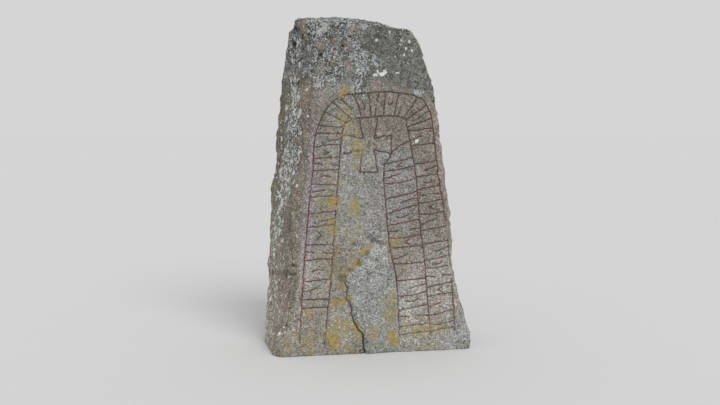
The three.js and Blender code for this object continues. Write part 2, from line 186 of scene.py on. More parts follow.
@dataclass(frozen=True)
class StoneForm:
    """The smooth block: tapering five-cornered sections under a sloping top."""

    height: float = 1.975
    face_width: float = 1.170
    depth: float = 0.450
    top_fall: float = 0.052
    top_fall_span: tuple[float, float] = (-0.18, 0.14)
    top_back_fall: float = 0.060
    top_dome: float = 0.022
    rounds: tuple[float, ...] = (0.012, 0.042, 0.085, 0.085, 0.022)
    chamfer: tuple[float, float] = (0.045, 0.052)
    top_round: float = 0.024
    foot_round: float = 0.008
    face_uneven: float = 0.005
    side_uneven: float = 0.013
    facing_span: tuple[float, float] = (0.6, 0.98)

    def smoothed(self, name: str, up: Array) -> Array:
        """One column of the sections, eased between them.

        Args:
            name: The column's name.
            up: Height shares.

        Returns:
            The column's value at each share.
        """
        ups = np.array([section.up for section in SECTIONS])
        values = np.array([getattr(section, name) for section in SECTIONS])
        last = len(ups) - 1
        i = np.clip(np.searchsorted(ups, up, side="right") - 1, 0, last - 1)
        before, after = np.maximum(i - 1, 0), np.minimum(i + 2, last)
        span = ups[i + 1] - ups[i]
        leave = (values[i + 1] - values[before]) / (ups[i + 1] - ups[before]) * span
        arrive = (values[after] - values[i]) / (ups[after] - ups[i]) * span
        return hermite((up - ups[i]) / span, values[i], leave, arrive, values[i + 1])

    def face_line(self, up: Array) -> Array:
        """How far back the face lies at height shares."""
        return self.smoothed("face", up) * self.depth

    def corners(self, up: Array) -> Array:
        """The five corners at height shares, round from the face's left, as (shares, 5, 2)."""
        left, face = self.smoothed("left", up) * self.face_width, self.face_line(up)
        back = self.smoothed("back", up) * self.depth
        right, back_right, back_left = (
            self.smoothed(name, up) * self.face_width for name in ("right", "back_right", "back_left")
        )
        reach, drop = self.chamfer
        across = (left, right, back_right, back_left, left - reach)
        deep = (face, face, back, back, face + drop)
        return np.stack([np.stack(across, axis=-1), np.stack(deep, axis=-1)], axis=-1)

    def outline(self, up: Array, columns: Sequence[int], arris_steps: int) -> Array:
        """The rounded sections at height shares.

        Args:
            up: Height shares.
            columns: Number of columns on the side that follows each corner.
            arris_steps: Steps round each corner.

        Returns:
            Points in plan, as (shares, columns, 2), round from the face's left corner.
        """
        corners = self.corners(up)
        rounds = np.array(self.rounds)[None, :, None]

        def towards(other: Array) -> Array:
            """Where each corner's rounding starts on the way to another corner."""
            way = other - corners
            return corners + rounds * way / np.linalg.norm(way, axis=-1, keepdims=True)

        start, end = towards(np.roll(corners, 1, axis=1)), towards(np.roll(corners, -1, axis=1))
        parts = []
        for i, count in enumerate(columns):
            for t in np.linspace(0, 1, arris_steps + 1):
                bent = (1 - t) ** 2 * start[:, i] + 2 * t * (1 - t) * corners[:, i] + t**2 * end[:, i]
                parts.append(bent)
            following = start[:, (i + 1) % len(columns)]
            parts += [lerp(end[:, i], following, k / count) for k in range(1, count)]
        return np.stack(parts, axis=1)

    def top_over(self, x: Array, y: Array) -> Array:
        """Height of the stone's top over points of its plan."""
        low, high = (share * self.face_width for share in self.top_fall_span)
        back = smooth(y, -self.depth / 2, self.depth / 2)
        return self.height - self.top_fall * smooth(x, low, high) - self.top_back_fall * back

    def uneven(self, x: Array, y: Array, z: Array | float) -> Array:
        """Unevenness of the rock, from -1 to 1."""
        total = np.zeros_like(x)
        for tall, wide, deep, phase, weight in UNEVEN_WAVES:
            turns = tall * z / self.height + wide * x / self.face_width + deep * y / self.depth
            total += weight * np.sin(2 * math.pi * turns + phase)
        return total

    def rolled(self, distance: Array, radius: float) -> Array:
        """How far a quarter round has drawn in, at distances from its flat end."""
        rise = np.clip(1 - distance / radius, 0, 1)
        return radius * (1 - np.sqrt(1 - rise * rise))

    def share_up(self, x: Array, z: Array) -> Array:
        """Height shares of places on the face."""
        up = z / self.top_over(x, np.full_like(x, -self.depth / 2))
        return z / self.top_over(x, self.face_line(up))


# The carving, drawn on the face, across in shares of the face's width and up in shares of the height

# The band's rungs from its left foot, over the arch, to its right foot: outer line, inner line.
BAND = (
    ((-0.402, 0.034), (-0.276, 0.03)),
    ((-0.386, 0.19), (-0.247, 0.192)),
    ((-0.361, 0.375), (-0.222, 0.377)),
    ((-0.331, 0.545), (-0.2, 0.545)),
    ((-0.307, 0.672), (-0.177, 0.672)),
    ((-0.214, 0.761), (-0.128, 0.704)),
    ((-0.054, 0.78), (-0.044, 0.71)),
    ((0.1, 0.782), (0.07, 0.713)),
    ((0.238, 0.757), (0.139, 0.703)),
    ((0.284, 0.672), (0.158, 0.66)),
    ((0.308, 0.546), (0.196, 0.533)),
    ((0.341, 0.432), (0.212, 0.419)),
    ((0.373, 0.3), (0.239, 0.286)),
    ((0.389, 0.18), (0.257, 0.166)),
    ((0.405, 0.06), (0.275, 0.048)),
)
# The second band's left line, and the rung of BAND at whose inner end each of its rungs meets the band.
SECOND_BAND = (
    (0.068, 0.602),
    (0.052, 0.583),
    (0.031, 0.566),
    (0.031, 0.51),
    (0.046, 0.4),
    (0.06, 0.325),
    (0.093, 0.225),
    (0.105, 0.13),
    (0.11, 0.045),
)
SECOND_BAND_MEETS = (9.2, 9.38, 9.57, 10.05, 11.0, 11.6, 12.42, 13.2, 13.95)


class Band(Enum):
    """The two bands that hold rows of strokes."""

    MAIN = "main"
    SECOND = "second"


class Row(NamedTuple):
    """A row of strokes: its band, its stretch of rungs, how many strokes, and what varies its marks."""

    band: Band
    start: float
    end: float
    strokes: int
    variant: int


ROWS = (
    Row(Band.MAIN, 0.95, 4.15, 13, 0),
    Row(Band.MAIN, 4.45, 8.6, 9, 1),
    Row(Band.MAIN, 9.0, 13.7, 15, 2),
    Row(Band.SECOND, 2.0, 7.45, 13, 3),
)
# Strokes that close a band: the band, the rung and how far the stroke is bowed.
CLOSINGS = (
    (Band.MAIN, 0.75, 0.0),
    (Band.MAIN, 13.85, 0.0),
    (Band.SECOND, 7.85, 0.0),
    (Band.SECOND, 0.0, -0.14),
)
# The cross's arms by quarter turns: how far each reaches and whether a stroke ends it.
CROSS_ARMS = ((0.116, True), (0.128, False), (0.127, False), (0.14, True))

Mark = Callable[[Callable[[float, float], Array]], list[Array]]


def bowed(a: Array, b: Array, share: float) -> Array:
    """A path from a to b, bowed sideways by a share of its length."""
    along = b - a
    middle = lerp(a, b, 0.5) + np.array([-along[1], along[0]]) * share
    t = np.linspace(0, 1, 13)[:, None]
    return (1 - t) ** 2 * a + 2 * t * (1 - t) * middle + t**2 * b


# The marks between two strokes, each drawn with a function that gives a point from its share across the
# band and its share of the way to the next stroke. A path of one point is a pit.
MARKS: tuple[Mark, ...] = (
    lambda at: [np.array([at(0, 0.42), at(0.56, 0.58)])],
    lambda at: [np.array([at(0.36, 0.5)]), np.array([at(0.64, 0.5)])],
    lambda at: [np.array([at(1, 0.58), at(0.5, 0.42)])],
    lambda at: [np.array([at(0.38, 0.27), at(0.56, 0.5), at(0.38, 0.73)])],
    lambda at: [np.array([at(0, 0.6), at(0.34, 0.5)]), np.array([at(1, 0.4), at(0.66, 0.5)])],
    lambda at: [bowed(at(0.3, 0.5), at(0.7, 0.5), 0.25)],
)


@dataclass(frozen=True)
class FaceCurve:
    """A smooth curve on the face through numbered points."""

    points: Array

    def at(self, number: Array | float) -> Array:
        """Points of the curve at numbers that need not be whole.

        Args:
            number: From 0 at the first point to the last point's number.

        Returns:
            One point for each number.
        """
        last = len(self.points) - 1
        i = np.clip(np.floor(number).astype(int), 0, last - 1)
        start, end = self.points[i], self.points[i + 1]
        leave = (end - self.points[np.maximum(i - 1, 0)]) / 2
        arrive = (self.points[np.minimum(i + 2, last)] - start) / 2
        return hermite(np.asarray(number - i)[..., None], start, leave, arrive, end)


class Groove(NamedTuple):
    """A groove of the face: its path, or the middle of a pit, and its size, which may thin to its end."""

    path: Array
    half_width: float
    depth: float
    thins_to: float = 1.0


@dataclass(frozen=True)
class Carving:
    """All that is cut into the face by hand: lines, strokes, pits and the cross."""

    form: StoneForm
    line: tuple[float, float] = (0.0068, 0.0056)
    stroke: tuple[float, float] = (0.006, 0.005)
    pit: tuple[float, float] = (0.0075, 0.0055)
    stroke_wander: float = 0.22
    stroke_lean: float = 0.07
    stroke_bow: float = 0.1
    strokes_per_bow: int = 4
    first_bowed: int = 2
    mark_step: int = 5
    lean_draw: int = 7
    curve_steps: int = 8
    cross_at: tuple[float, float] = (-0.048, 0.63)
    cross_waist: float = 0.029
    cross_flare: float = 0.047
    cross_pit_inset: float = 0.021

    def on_face(self, shares: Sequence) -> Array:
        """Points of the face from their shares across and up."""
        return np.array(shares, float) * (self.form.face_width, self.form.height)

    def rung_ends(self, band: Band, rung: float) -> tuple[Array, Array]:
        """The outer or right end and the inner or left end of a rung of a band."""
        inner = FaceCurve(self.on_face([pair[1] for pair in BAND]))
        if band is Band.MAIN:
            return FaceCurve(self.on_face([pair[0] for pair in BAND])).at(rung), inner.at(rung)
        meets = float(np.interp(rung, range(len(SECOND_BAND_MEETS)), SECOND_BAND_MEETS))
        return inner.at(meets), FaceCurve(self.on_face(SECOND_BAND)).at(rung)

    def band_lines(self) -> list[Groove]:
        """The outer, inner and second lines, and the strokes that close the bands."""
        lines = [[pair[0] for pair in BAND], [pair[1] for pair in BAND], SECOND_BAND]
        steps = [np.linspace(0, len(points) - 1, len(points) * self.curve_steps) for points in lines]
        paths = [FaceCurve(self.on_face(points)).at(t) for points, t in zip(lines, steps)]
        paths += [bowed(*self.rung_ends(band, rung), bow) for band, rung, bow in CLOSINGS]
        return [Groove(path, *self.line) for path in paths]

    def row(self, row: Row) -> list[Groove]:
        """A long stroke at each place of a row, and a mark in the space after it.

        Args:
            row: The row.

        Returns:
            The row's grooves and pits.
        """
        def place(i: int) -> float:
            """Rung number of a stroke."""
            number = i + self.stroke_wander * vary(i, row.variant)
            return lerp(row.start, row.end, number / (row.strokes - 1))

        paths = []
        for i in range(row.strokes):
            outer, inner = self.rung_ends(row.band, place(i))
            across = inner - outer
            lean = self.stroke_lean * vary(i, row.variant + self.lean_draw)
            aside = np.array([-across[1], across[0]]) * lean
            bow = self.stroke_bow if i % self.strokes_per_bow == self.first_bowed else 0
            paths.append(bowed(outer, inner + aside, bow))
            if i == row.strokes - 1:
                break
            next_outer, next_inner = self.rung_ends(row.band, place(i + 1))

            def at(share: float, over: float) -> Array:
                """A point between this stroke and the next."""
                return lerp(lerp(outer, inner, share), lerp(next_outer, next_inner, share), over)

            paths += MARKS[(i * self.mark_step + row.variant) % len(MARKS)](at)
        return [Groove(path, *(self.pit if len(path) == 1 else self.stroke)) for path in paths]

    def cross(self) -> list[Groove]:
        """Each arm's slanting sides and its end, where it has one, with pits in its corners."""
        middle = self.on_face(self.cross_at)
        grooves = [Groove(middle[None], *self.pit)]
        for turn, (reach, ended) in enumerate(CROSS_ARMS):
            out = np.array([math.cos(turn * math.pi / 2), math.sin(turn * math.pi / 2)])
            aside = np.array([-out[1], out[0]])

            def place(along: float, across: float) -> Array:
                """A point of this arm, in shares of the face's width."""
                return middle + self.form.face_width * (along * out + across * aside)

            flare, inset = self.cross_flare, self.cross_pit_inset
            for side in (-1, 1):
                ends = place(self.cross_waist, side * self.cross_waist), place(reach, side * flare)
                grooves.append(Groove(np.array(ends), *self.line))
                grooves.append(Groove(place(reach - inset, side * (flare - inset))[None], *self.pit))
            if ended:
                grooves.append(Groove(np.array([place(reach, -flare), place(reach, flare)]), *self.line))
        return grooves

    def grooves(self) -> list[Groove]:
        """Every groove and pit."""
        return [*self.band_lines(), *self.cross(), *(groove for row in ROWS for groove in self.row(row))]


# The raised patch, the crack and other breaks of the face

# The patch's rim, from the ground up its left side, over the ledge and down the right.
PATCH_RIM = (
    (-0.07, -0.05),
    (-0.075, 0.04),
    (-0.101, 0.076),
    (-0.136, 0.12),
    (-0.158, 0.18),
    (-0.172, 0.24),
    (-0.136, 0.262),
    (-0.103, 0.28),
    (-0.064, 0.311),
    (-0.034, 0.329),
    (0.03, 0.33),
    (0.2, 0.29),
    (0.2, -0.05),
)
CRACK_PATH = PATCH_RIM[:6]  # the crack follows the rim this far
LEDGE_PATH = PATCH_RIM[:11]  # the rim stands proud of the face this far


@dataclass(frozen=True)
class RaisedPatch:
    """A layer of rock left standing low on the face, which sinks back into it on the right."""

    form: StoneForm
    rise: float = 0.013
    sink: float = 0.007
    level_to: float = -0.02
    sunk_from: float = 0.15
    ragged: float = 0.0032
    ragged_sizes: tuple[float, float] = (0.05, 0.018)
    steepness: float = 1.5

    def inside(self, x: Array, z: Array) -> Array:
        """How far places lie inside the rim, less than 0 outside it.

        Args:
            x: Across the face.
            z: Up the face.

        Returns:
            Distances from the rim.
        """
        rim = np.array(PATCH_RIM) * (self.form.face_width, self.form.height)
        at = np.stack([x, z], axis=-1)
        nearest = np.full(len(x), np.inf)
        within = np.zeros(len(x), bool)
        for a, b in zip(rim, np.roll(rim, -1, axis=0)):
            side = b - a
            share = np.clip((at - a) @ side / (side @ side), 0, 1)
            nearest = np.minimum(nearest, np.linalg.norm(at - a - share[:, None] * side, axis=1))
            if a[1] != b[1]:
                crossing = a[0] + (z - a[1]) / (b[1] - a[1]) * side[0]
                within ^= ((a[1] > z) != (b[1] > z)) & (x < crossing)
        return np.where(within, nearest, -nearest)

    def relief(self, x: Array, z: Array, face_out: Array) -> Array:
        """How far the patch stands out of the plain face, far below 0 outside it.

        Args:
            x: Across the face.
            z: Up the face.
            face_out: How far forward the plain face lies.

        Returns:
            The patch's height over the plain face.
        """
        at = np.stack([x, np.zeros_like(x), z], axis=-1)
        coarse, fine = (Waves(Seed.PATCH + i, size).at(at) for i, size in enumerate(self.ragged_sizes))
        inside = self.inside(x, z) + self.ragged * (coarse + 0.5 * fine)
        width = self.form.face_width
        slab = lerp(self.rise, -self.sink, smooth(x, self.level_to * width, self.sunk_from * width))
        wall = self.form.depth / 2 - self.rise + self.steepness * inside - face_out
        return np.where(inside > 0, np.minimum(slab, wall), -1.0)


class Dent(NamedTuple):
    """A small hollow of the face or flank: its middle, its radius and its depth."""

    x: float
    y: float
    z: float
    radius: float
    depth: float


# Places are from the middle of the stone's foot.
# Each dent also gets painted shade, darker the steeper it is.
DENTS = (
    Dent(-0.438, -0.03, 1.83, 0.026, 0.02),
    Dent(-0.396, -0.14, 1.789, 0.02, 0.014),
    Dent(-0.432, -0.085, 1.915, 0.03, 0.02),
    Dent(-0.404, -0.14, 1.864, 0.022, 0.016),
    Dent(-0.42, -0.08, 1.605, 0.024, 0.017),
    Dent(-0.296, -0.194, 1.758, 0.015, 0.011),
    Dent(-0.167, -0.188, 1.811, 0.013, 0.009),
    Dent(-0.363, -0.184, 1.876, 0.014, 0.01),
    Dent(0.375, -0.192, 1.497, 0.016, 0.015),
    Dent(-0.465, -0.19, 0.54, 0.02, 0.01),
    Dent(-0.459, -0.192, 0.578, 0.014, 0.005),
    Dent(-0.449, -0.196, 0.71, 0.012, 0.005),
    Dent(0.023, -0.229, 0.571, 0.015, 0.006),
    Dent(-0.171, -0.217, 0.689, 0.012, 0.004),
    Dent(-0.11, -0.217, 0.662, 0.016, 0.007),
)


@dataclass(frozen=True)
class Scar:
    """Where a flake has come off low on the left flank, under a ragged overhanging edge."""

    depth: float = 0.009
    front_z: float = 0.502
    slope: float = 0.17
    front_y: float = -0.19
    ragged: float = 0.008
    ragged_size: float = 0.07
    edge: float = 0.01
    runs_out: tuple[float, float] = (0.04, 0.38)

    def below(self, at: Array) -> Array:
        """How far points lie below the scar's edge."""
        _, y, z = at.T
        ragged = self.ragged * Waves(Seed.SCAR, self.ragged_size).at(at)
        return self.front_z - self.slope * (y - self.front_y) + ragged - z

    def set_back(self, at: Array, left: Array) -> Array:
        """How far the scar sets points back.

        Args:
            at: The points.
            left: How much each belongs to the left side.

        Returns:
            The depths, which run out towards the ground.
        """
        return self.depth * left * smooth(self.below(at), 0, self.edge) * smooth(at[:, 2], *self.runs_out)

    def shade(self, at: Array, left: Array) -> Array:
        """How dark the painted shade under the scar's overhanging edge makes points on the left side."""
        return left * np.exp(-(((self.below(at) - self.edge) / self.edge) ** 2))


@dataclass(frozen=True)
class Crack:
    """The crack that climbs from the foot along the patch, with a chip split off at its foot."""

    form: StoneForm
    half_width: float = 0.0072
    depth: float = 0.022
    thins_to: float = 0.4
    chip_edge: tuple[tuple[float, float], ...] = ((-0.074, 0.02), (-0.09, 0.009), (-0.108, -0.01))

    def grooves(self) -> list[Groove]:
        """The crack, which grows narrower upwards, and the chip's edge."""
        size = (self.form.face_width, self.form.height)
        curve = FaceCurve(np.array(CRACK_PATH) * size)
        path = curve.at(np.linspace(0, len(curve.points) - 1, 40))
        edge = np.array(self.chip_edge) * size
        return [
            Groove(path, self.half_width, self.depth, self.thins_to),
            Groove(edge, self.half_width / 2, self.depth / 3),
        ]


class GrooveMap:
    """Finds the nearest groove of any place on the face."""

    step = 0.002

    def __init__(self, grooves: Sequence[Groove], waver: float) -> None:
        """Divides the grooves finely and lets them waver as a hand-cut line does.

        Args:
            grooves: The grooves.
            waver: How far a line strays from its path.
        """
        stations, along, sizes = [], [], []
        for groove in grooves:
            steps = np.linalg.norm(np.diff(groove.path, axis=0), axis=1)
            travelled = np.concatenate([[0], np.cumsum(steps)])
            count = int(travelled[-1] / self.step) + 1
            at = np.linspace(0, travelled[-1], count)
            path = np.stack([np.interp(at, travelled, groove.path[:, k]) for k in (0, 1)], axis=-1)
            path = path + self.stray(path, waver)
            heading = np.gradient(path, axis=0) if count > 1 else np.zeros((1, 2))
            length = np.maximum(np.linalg.norm(heading, axis=1, keepdims=True), 1e-9)
            stations.append(path)
            along.append(heading / length)
            thinned = np.linspace(1, groove.thins_to, count)[:, None]
            sizes.append(thinned * (groove.half_width, groove.depth))
        self.stations = np.concatenate(stations)
        self.along = np.concatenate(along)
        self.half_width, self.depth = np.concatenate(sizes).T
        self.tree = KDTree(len(self.stations))
        for i, (x, z) in enumerate(self.stations):
            self.tree.insert((x, z, 0), i)
        self.tree.balance()

    @staticmethod
    def stray(path: Array, waver: float) -> Array:
        """How far each point of a path strays."""
        at = np.column_stack([path, np.zeros(len(path))])
        noises = ((Seed.WAVER, 0.06, 1.0), (Seed.WAVER + 2, 0.022, 0.5))
        moves = [[Waves(seed + k, size).at(at) * share for k in (0, 1)] for seed, size, share in noises]
        return waver * np.sum(moves, axis=0).T

    def nearest(self, x: Array, z: Array) -> tuple[Array, Array]:
        """The nearest groove of each place.

        Args:
            x: Across the face.
            z: Up the face.

        Returns:
            Distances from the groove's middle in half widths, and the groove's depth.
        """
        found = np.array([self.tree.find((a, b, 0))[1] for a, b in zip(x.tolist(), z.tolist())])
        away = np.stack([x, z], axis=-1) - self.stations[found]
        along = np.abs((away * self.along[found]).sum(axis=1))
        beyond = np.maximum(along - self.step / 2, 0)
        squared = (away**2).sum(axis=1) - along**2 + beyond**2
        return np.sqrt(np.maximum(squared, 0)) / self.half_width[found], self.depth[found]

    def rows(self, offsets: Sequence[float], spacing: float) -> Array:
        """Points in rows along every groove.

        Args:
            offsets: Where the rows lie, in half widths from the groove's middle.
            spacing: Distance from point to point in a row.

        Returns:
            The points, the middle rows first.
        """
        every = max(int(spacing / self.step), 1)
        at, along, half = (a[::every] for a in (self.stations, self.along, self.half_width))
        aside = np.stack([-along[:, 1], along[:, 0]], axis=-1) * half[:, None]
        return np.concatenate([at + offset * aside for offset in offsets])


# What grows on the stone and stains it, and where shade and light are painted on it

class Growth(Enum):
    """The growths and stains, and the painted shade, light and reflection, by the names of the mesh
    attributes that hold how densely they cover.
    """

    YELLOW = "yellow_lichen"
    WHITE = "white_lichen"
    CRUST = "bluish_crust"
    DARK = "dark_film"
    ROUND = "round_lichens"
    # Olive film, and a painted reflection of grass just above the ground.
    OLIVE = "olive_film"
    WARM = "brown_stain"
    VIOLET = "violet_tinge"
    # Pale rock, and painted light on the patch's top and at the flank's foot.
    PALE = "pale_rock"
    # Sandy rock, and painted light on the patch's top.
    SANDY = "sandy_rock"
    RUST = "rust_stain"
    SHADE = "shaded_hole"
    # Pitted rock, whose pits are darkened with painted shade.
    PITS = "pitted_rock"
    # Darker film high on the right, and painted shade in the hollow over the patch, under the ledge and under
    # the scar's edge.
    GRIME = "grime"
    RUNS = "run_marks"


class Blot(NamedTuple):
    """A place on the face with a growth, a stain, painted shade or painted light: its middle, half its width
    and height, its density.
    """

    growth: Growth
    x: float
    z: float
    wide: float
    tall: float
    density: float = 1.0


# Short names, because the tables and zones below use them often.
YELLOW, WHITE, CRUST, DARK, ROUND = Growth.YELLOW, Growth.WHITE, Growth.CRUST, Growth.DARK, Growth.ROUND
OLIVE, WARM, VIOLET, PALE, SANDY = Growth.OLIVE, Growth.WARM, Growth.VIOLET, Growth.PALE, Growth.SANDY
RUST, GRIME = Growth.RUST, Growth.GRIME

BLOTS = (
    # Yellow lichen at the arch's left shoulder and round the cross.
    Blot(YELLOW, -0.152, 1.565, 0.032, 0.027, 0.46),
    Blot(YELLOW, -0.178, 1.53, 0.03, 0.03, 0.4),
    Blot(YELLOW, -0.164, 1.41, 0.04, 0.07, 0.36),
    Blot(YELLOW, -0.115, 1.35, 0.07, 0.07, 0.33),
    Blot(YELLOW, -0.088, 1.22, 0.055, 0.08, 0.4),
    Blot(YELLOW, -0.098, 1.12, 0.035, 0.035, 0.34),
    Blot(YELLOW, -0.02, 1.13, 0.05, 0.05, 0.24),
    # Down the inner half of the left band, along its inner line.
    Blot(YELLOW, -0.237, 1.033, 0.05, 0.06, 0.34),
    Blot(YELLOW, -0.238, 0.9, 0.045, 0.05, 0.52),
    Blot(YELLOW, -0.238, 0.762, 0.04, 0.07, 0.52),
    Blot(YELLOW, -0.29, 0.88, 0.05, 0.14, 0.3),
    Blot(YELLOW, -0.25, 0.6, 0.06, 0.12, 0.26),
    Blot(YELLOW, -0.3, 0.76, 0.05, 0.1, 0.24),
    # The middle column.
    Blot(YELLOW, -0.11, 0.865, 0.055, 0.08, 0.4),
    Blot(YELLOW, -0.12, 0.72, 0.06, 0.07, 0.29),
    Blot(YELLOW, -0.06, 1.0, 0.06, 0.06, 0.18),
    # Along the ledge and the crack, with orange where it is thickest.
    Blot(YELLOW, -0.165, 0.5, 0.035, 0.016, 0.5),
    Blot(YELLOW, -0.123, 0.524, 0.03, 0.015, 0.56),
    Blot(YELLOW, -0.083, 0.556, 0.024, 0.022, 0.66),
    Blot(YELLOW, -0.05, 0.607, 0.028, 0.02, 0.62),
    Blot(YELLOW, -0.012, 0.645, 0.028, 0.015, 0.46),
    Blot(YELLOW, -0.18, 0.44, 0.04, 0.06, 0.36),
    Blot(YELLOW, 0.14, 0.668, 0.065, 0.035, 0.42),
    Blot(YELLOW, 0.1, 0.61, 0.035, 0.035, 0.36),
    # Low on the face.
    Blot(YELLOW, -0.234, 0.301, 0.03, 0.02, 0.61),
    Blot(YELLOW, -0.19, 0.322, 0.035, 0.018, 0.65),
    Blot(YELLOW, -0.148, 0.336, 0.025, 0.018, 0.7),
    Blot(YELLOW, -0.24, 0.085, 0.045, 0.05, 0.7),
    Blot(YELLOW, -0.2, 0.16, 0.07, 0.07, 0.4),
    Blot(YELLOW, -0.1, 0.15, 0.035, 0.05, 0.49),
    Blot(YELLOW, -0.3, 0.14, 0.13, 0.07, 0.29),
    Blot(YELLOW, -0.37, 0.27, 0.05, 0.05, 0.4),
    Blot(YELLOW, -0.43, 0.15, 0.04, 0.07, 0.29),
    Blot(YELLOW, -0.01, 0.12, 0.06, 0.06, 0.36),
    Blot(YELLOW, 0.125, 0.09, 0.05, 0.06, 0.58),
    Blot(YELLOW, 0.118, 0.26, 0.045, 0.14, 0.38),
    Blot(YELLOW, 0.29, 0.13, 0.12, 0.06, 0.36),
    Blot(YELLOW, 0.41, 0.14, 0.09, 0.05, 0.35),
    Blot(YELLOW, 0.24, 0.2, 0.06, 0.05, 0.26),
    Blot(YELLOW, 0.37, 0.25, 0.05, 0.05, 0.29),
    # White lichens on the right, most of them high up.
    Blot(WHITE, 0.032, 1.849, 0.01, 0.012),
    Blot(WHITE, 0.177, 1.847, 0.007, 0.01),
    Blot(WHITE, 0.205, 1.801, 0.006, 0.01),
    Blot(WHITE, 0.108, 1.896, 0.007, 0.008, 0.8),
    Blot(WHITE, 0.14, 1.89, 0.007, 0.006, 0.8),
    Blot(WHITE, 0.167, 1.824, 0.008, 0.006, 0.8),
    Blot(WHITE, 0.193, 1.766, 0.007, 0.01, 0.9),
    Blot(WHITE, 0.216, 1.717, 0.006, 0.009, 0.8),
    Blot(WHITE, 0.139, 1.754, 0.007, 0.009, 0.8),
    Blot(WHITE, 0.15, 1.659, 0.013, 0.009),
    Blot(WHITE, 0.24, 1.787, 0.007, 0.01, 0.8),
    Blot(WHITE, 0.223, 1.84, 0.007, 0.013, 0.7),
    Blot(WHITE, 0.27, 1.263, 0.011, 0.012),
    # The twisting white patch: four lobes in a row.
    Blot(WHITE, 0.02, 1.648, 0.015, 0.01),
    Blot(WHITE, 0.039, 1.665, 0.015, 0.01),
    Blot(WHITE, 0.061, 1.651, 0.016, 0.011),
    Blot(WHITE, 0.081, 1.668, 0.012, 0.018),
    # Broken pale rosettes.
    Blot(CRUST, 0.005, 1.738, 0.018, 0.018, 0.95),
    Blot(CRUST, 0.025, 1.712, 0.022, 0.018, 0.95),
    Blot(CRUST, 0.282, 1.555, 0.035, 0.032, 0.85),
    Blot(CRUST, 0.232, 1.892, 0.028, 0.025, 0.8),
    # The bluish strip below the top.
    Blot(CRUST, -0.062, 1.7, 0.055, 0.19, 0.62),
    Blot(CRUST, -0.062, 1.55, 0.05, 0.06, 0.45),
    Blot(CRUST, -0.33, 1.6, 0.06, 0.04, 0.75),
    Blot(CRUST, -0.24, 1.62, 0.05, 0.04, 0.7),
    Blot(CRUST, -0.05, 1.93, 0.05, 0.025, 0.7),
    # Brown and pinkish bare rock high on the left.
    Blot(WARM, -0.254, 1.8, 0.045, 0.03, 0.8),
    Blot(WARM, -0.3, 1.745, 0.045, 0.03, 0.8),
    Blot(WARM, -0.26, 1.71, 0.07, 0.055, 0.9),
    Blot(WARM, -0.33, 1.66, 0.05, 0.05, 0.8),
    Blot(WARM, -0.33, 1.85, 0.05, 0.03, 0.8),
    Blot(VIOLET, -0.073, 1.885, 0.022, 0.028, 0.9),
    Blot(VIOLET, -0.05, 1.79, 0.018, 0.018, 0.9),
    Blot(VIOLET, -0.41, 1.945, 0.03, 0.03, 0.9),
    Blot(VIOLET, -0.22, 1.93, 0.06, 0.025, 0.6),
    # Darker film and a bare place high on the right.
    Blot(GRIME, 0.13, 1.91, 0.12, 0.03, 0.5),
    Blot(GRIME, 0.07, 1.83, 0.12, 0.07, 0.26),
    Blot(WARM, 0.2, 1.88, 0.03, 0.02, 0.9),
    # Painted shade in the hollow over the patch and under the ledge.
    Blot(GRIME, -0.04, 0.722, 0.024, 0.014, 0.4),
    Blot(GRIME, -0.012, 0.706, 0.026, 0.014, 0.6),
    Blot(GRIME, 0.016, 0.69, 0.026, 0.013, 0.7),
    Blot(GRIME, 0.044, 0.672, 0.024, 0.012, 0.7),
    Blot(GRIME, 0.07, 0.654, 0.022, 0.012, 0.6),
    Blot(GRIME, 0.098, 0.612, 0.012, 0.04, 0.6),
    Blot(GRIME, -0.178, 0.46, 0.012, 0.024, 0.7),
    Blot(GRIME, -0.172, 0.482, 0.02, 0.012, 0.7),
    Blot(GRIME, -0.13, 0.512, 0.026, 0.009, 0.7),
    Blot(GRIME, -0.072, 0.552, 0.012, 0.024, 0.9),
    Blot(GRIME, -0.042, 0.592, 0.016, 0.01, 0.7),
    # Paler and sandier rock. The first two blots, on the patch's top, are partly paler rock and partly
    # painted light on its lit top.
    Blot(PALE, 0.035, 0.61, 0.06, 0.04, 1.0),
    Blot(SANDY, 0.04, 0.605, 0.05, 0.035, 0.45),
    Blot(SANDY, -0.19, 0.13, 0.12, 0.09, 0.95),
    Blot(PALE, 0.52, 0.07, 0.09, 0.1, 0.9),
    Blot(PALE, -0.1, 0.95, 0.11, 0.3, 0.4),
    Blot(PALE, -0.02, 1.2, 0.1, 0.1, 0.3),
    # Brown and violet rock right of the patch, an olive tone left of it.
    Blot(WARM, 0.18, 0.57, 0.08, 0.12, 1.0),
    Blot(VIOLET, 0.31, 0.5, 0.1, 0.2, 0.4),
    Blot(OLIVE, -0.2, 0.52, 0.05, 0.17, 0.5),
    # Rust along the left edge.
    Blot(RUST, -0.382, 1.432, 0.018, 0.025, 0.8),
    Blot(RUST, -0.561, 0.15, 0.025, 0.03, 0.7),
    Blot(RUST, -0.365, 1.587, 0.02, 0.05, 0.5),
)


# How far a surface turned to the left begins and is wholly part of the left side.
LEFT_FACING = (0.4, 0.85)


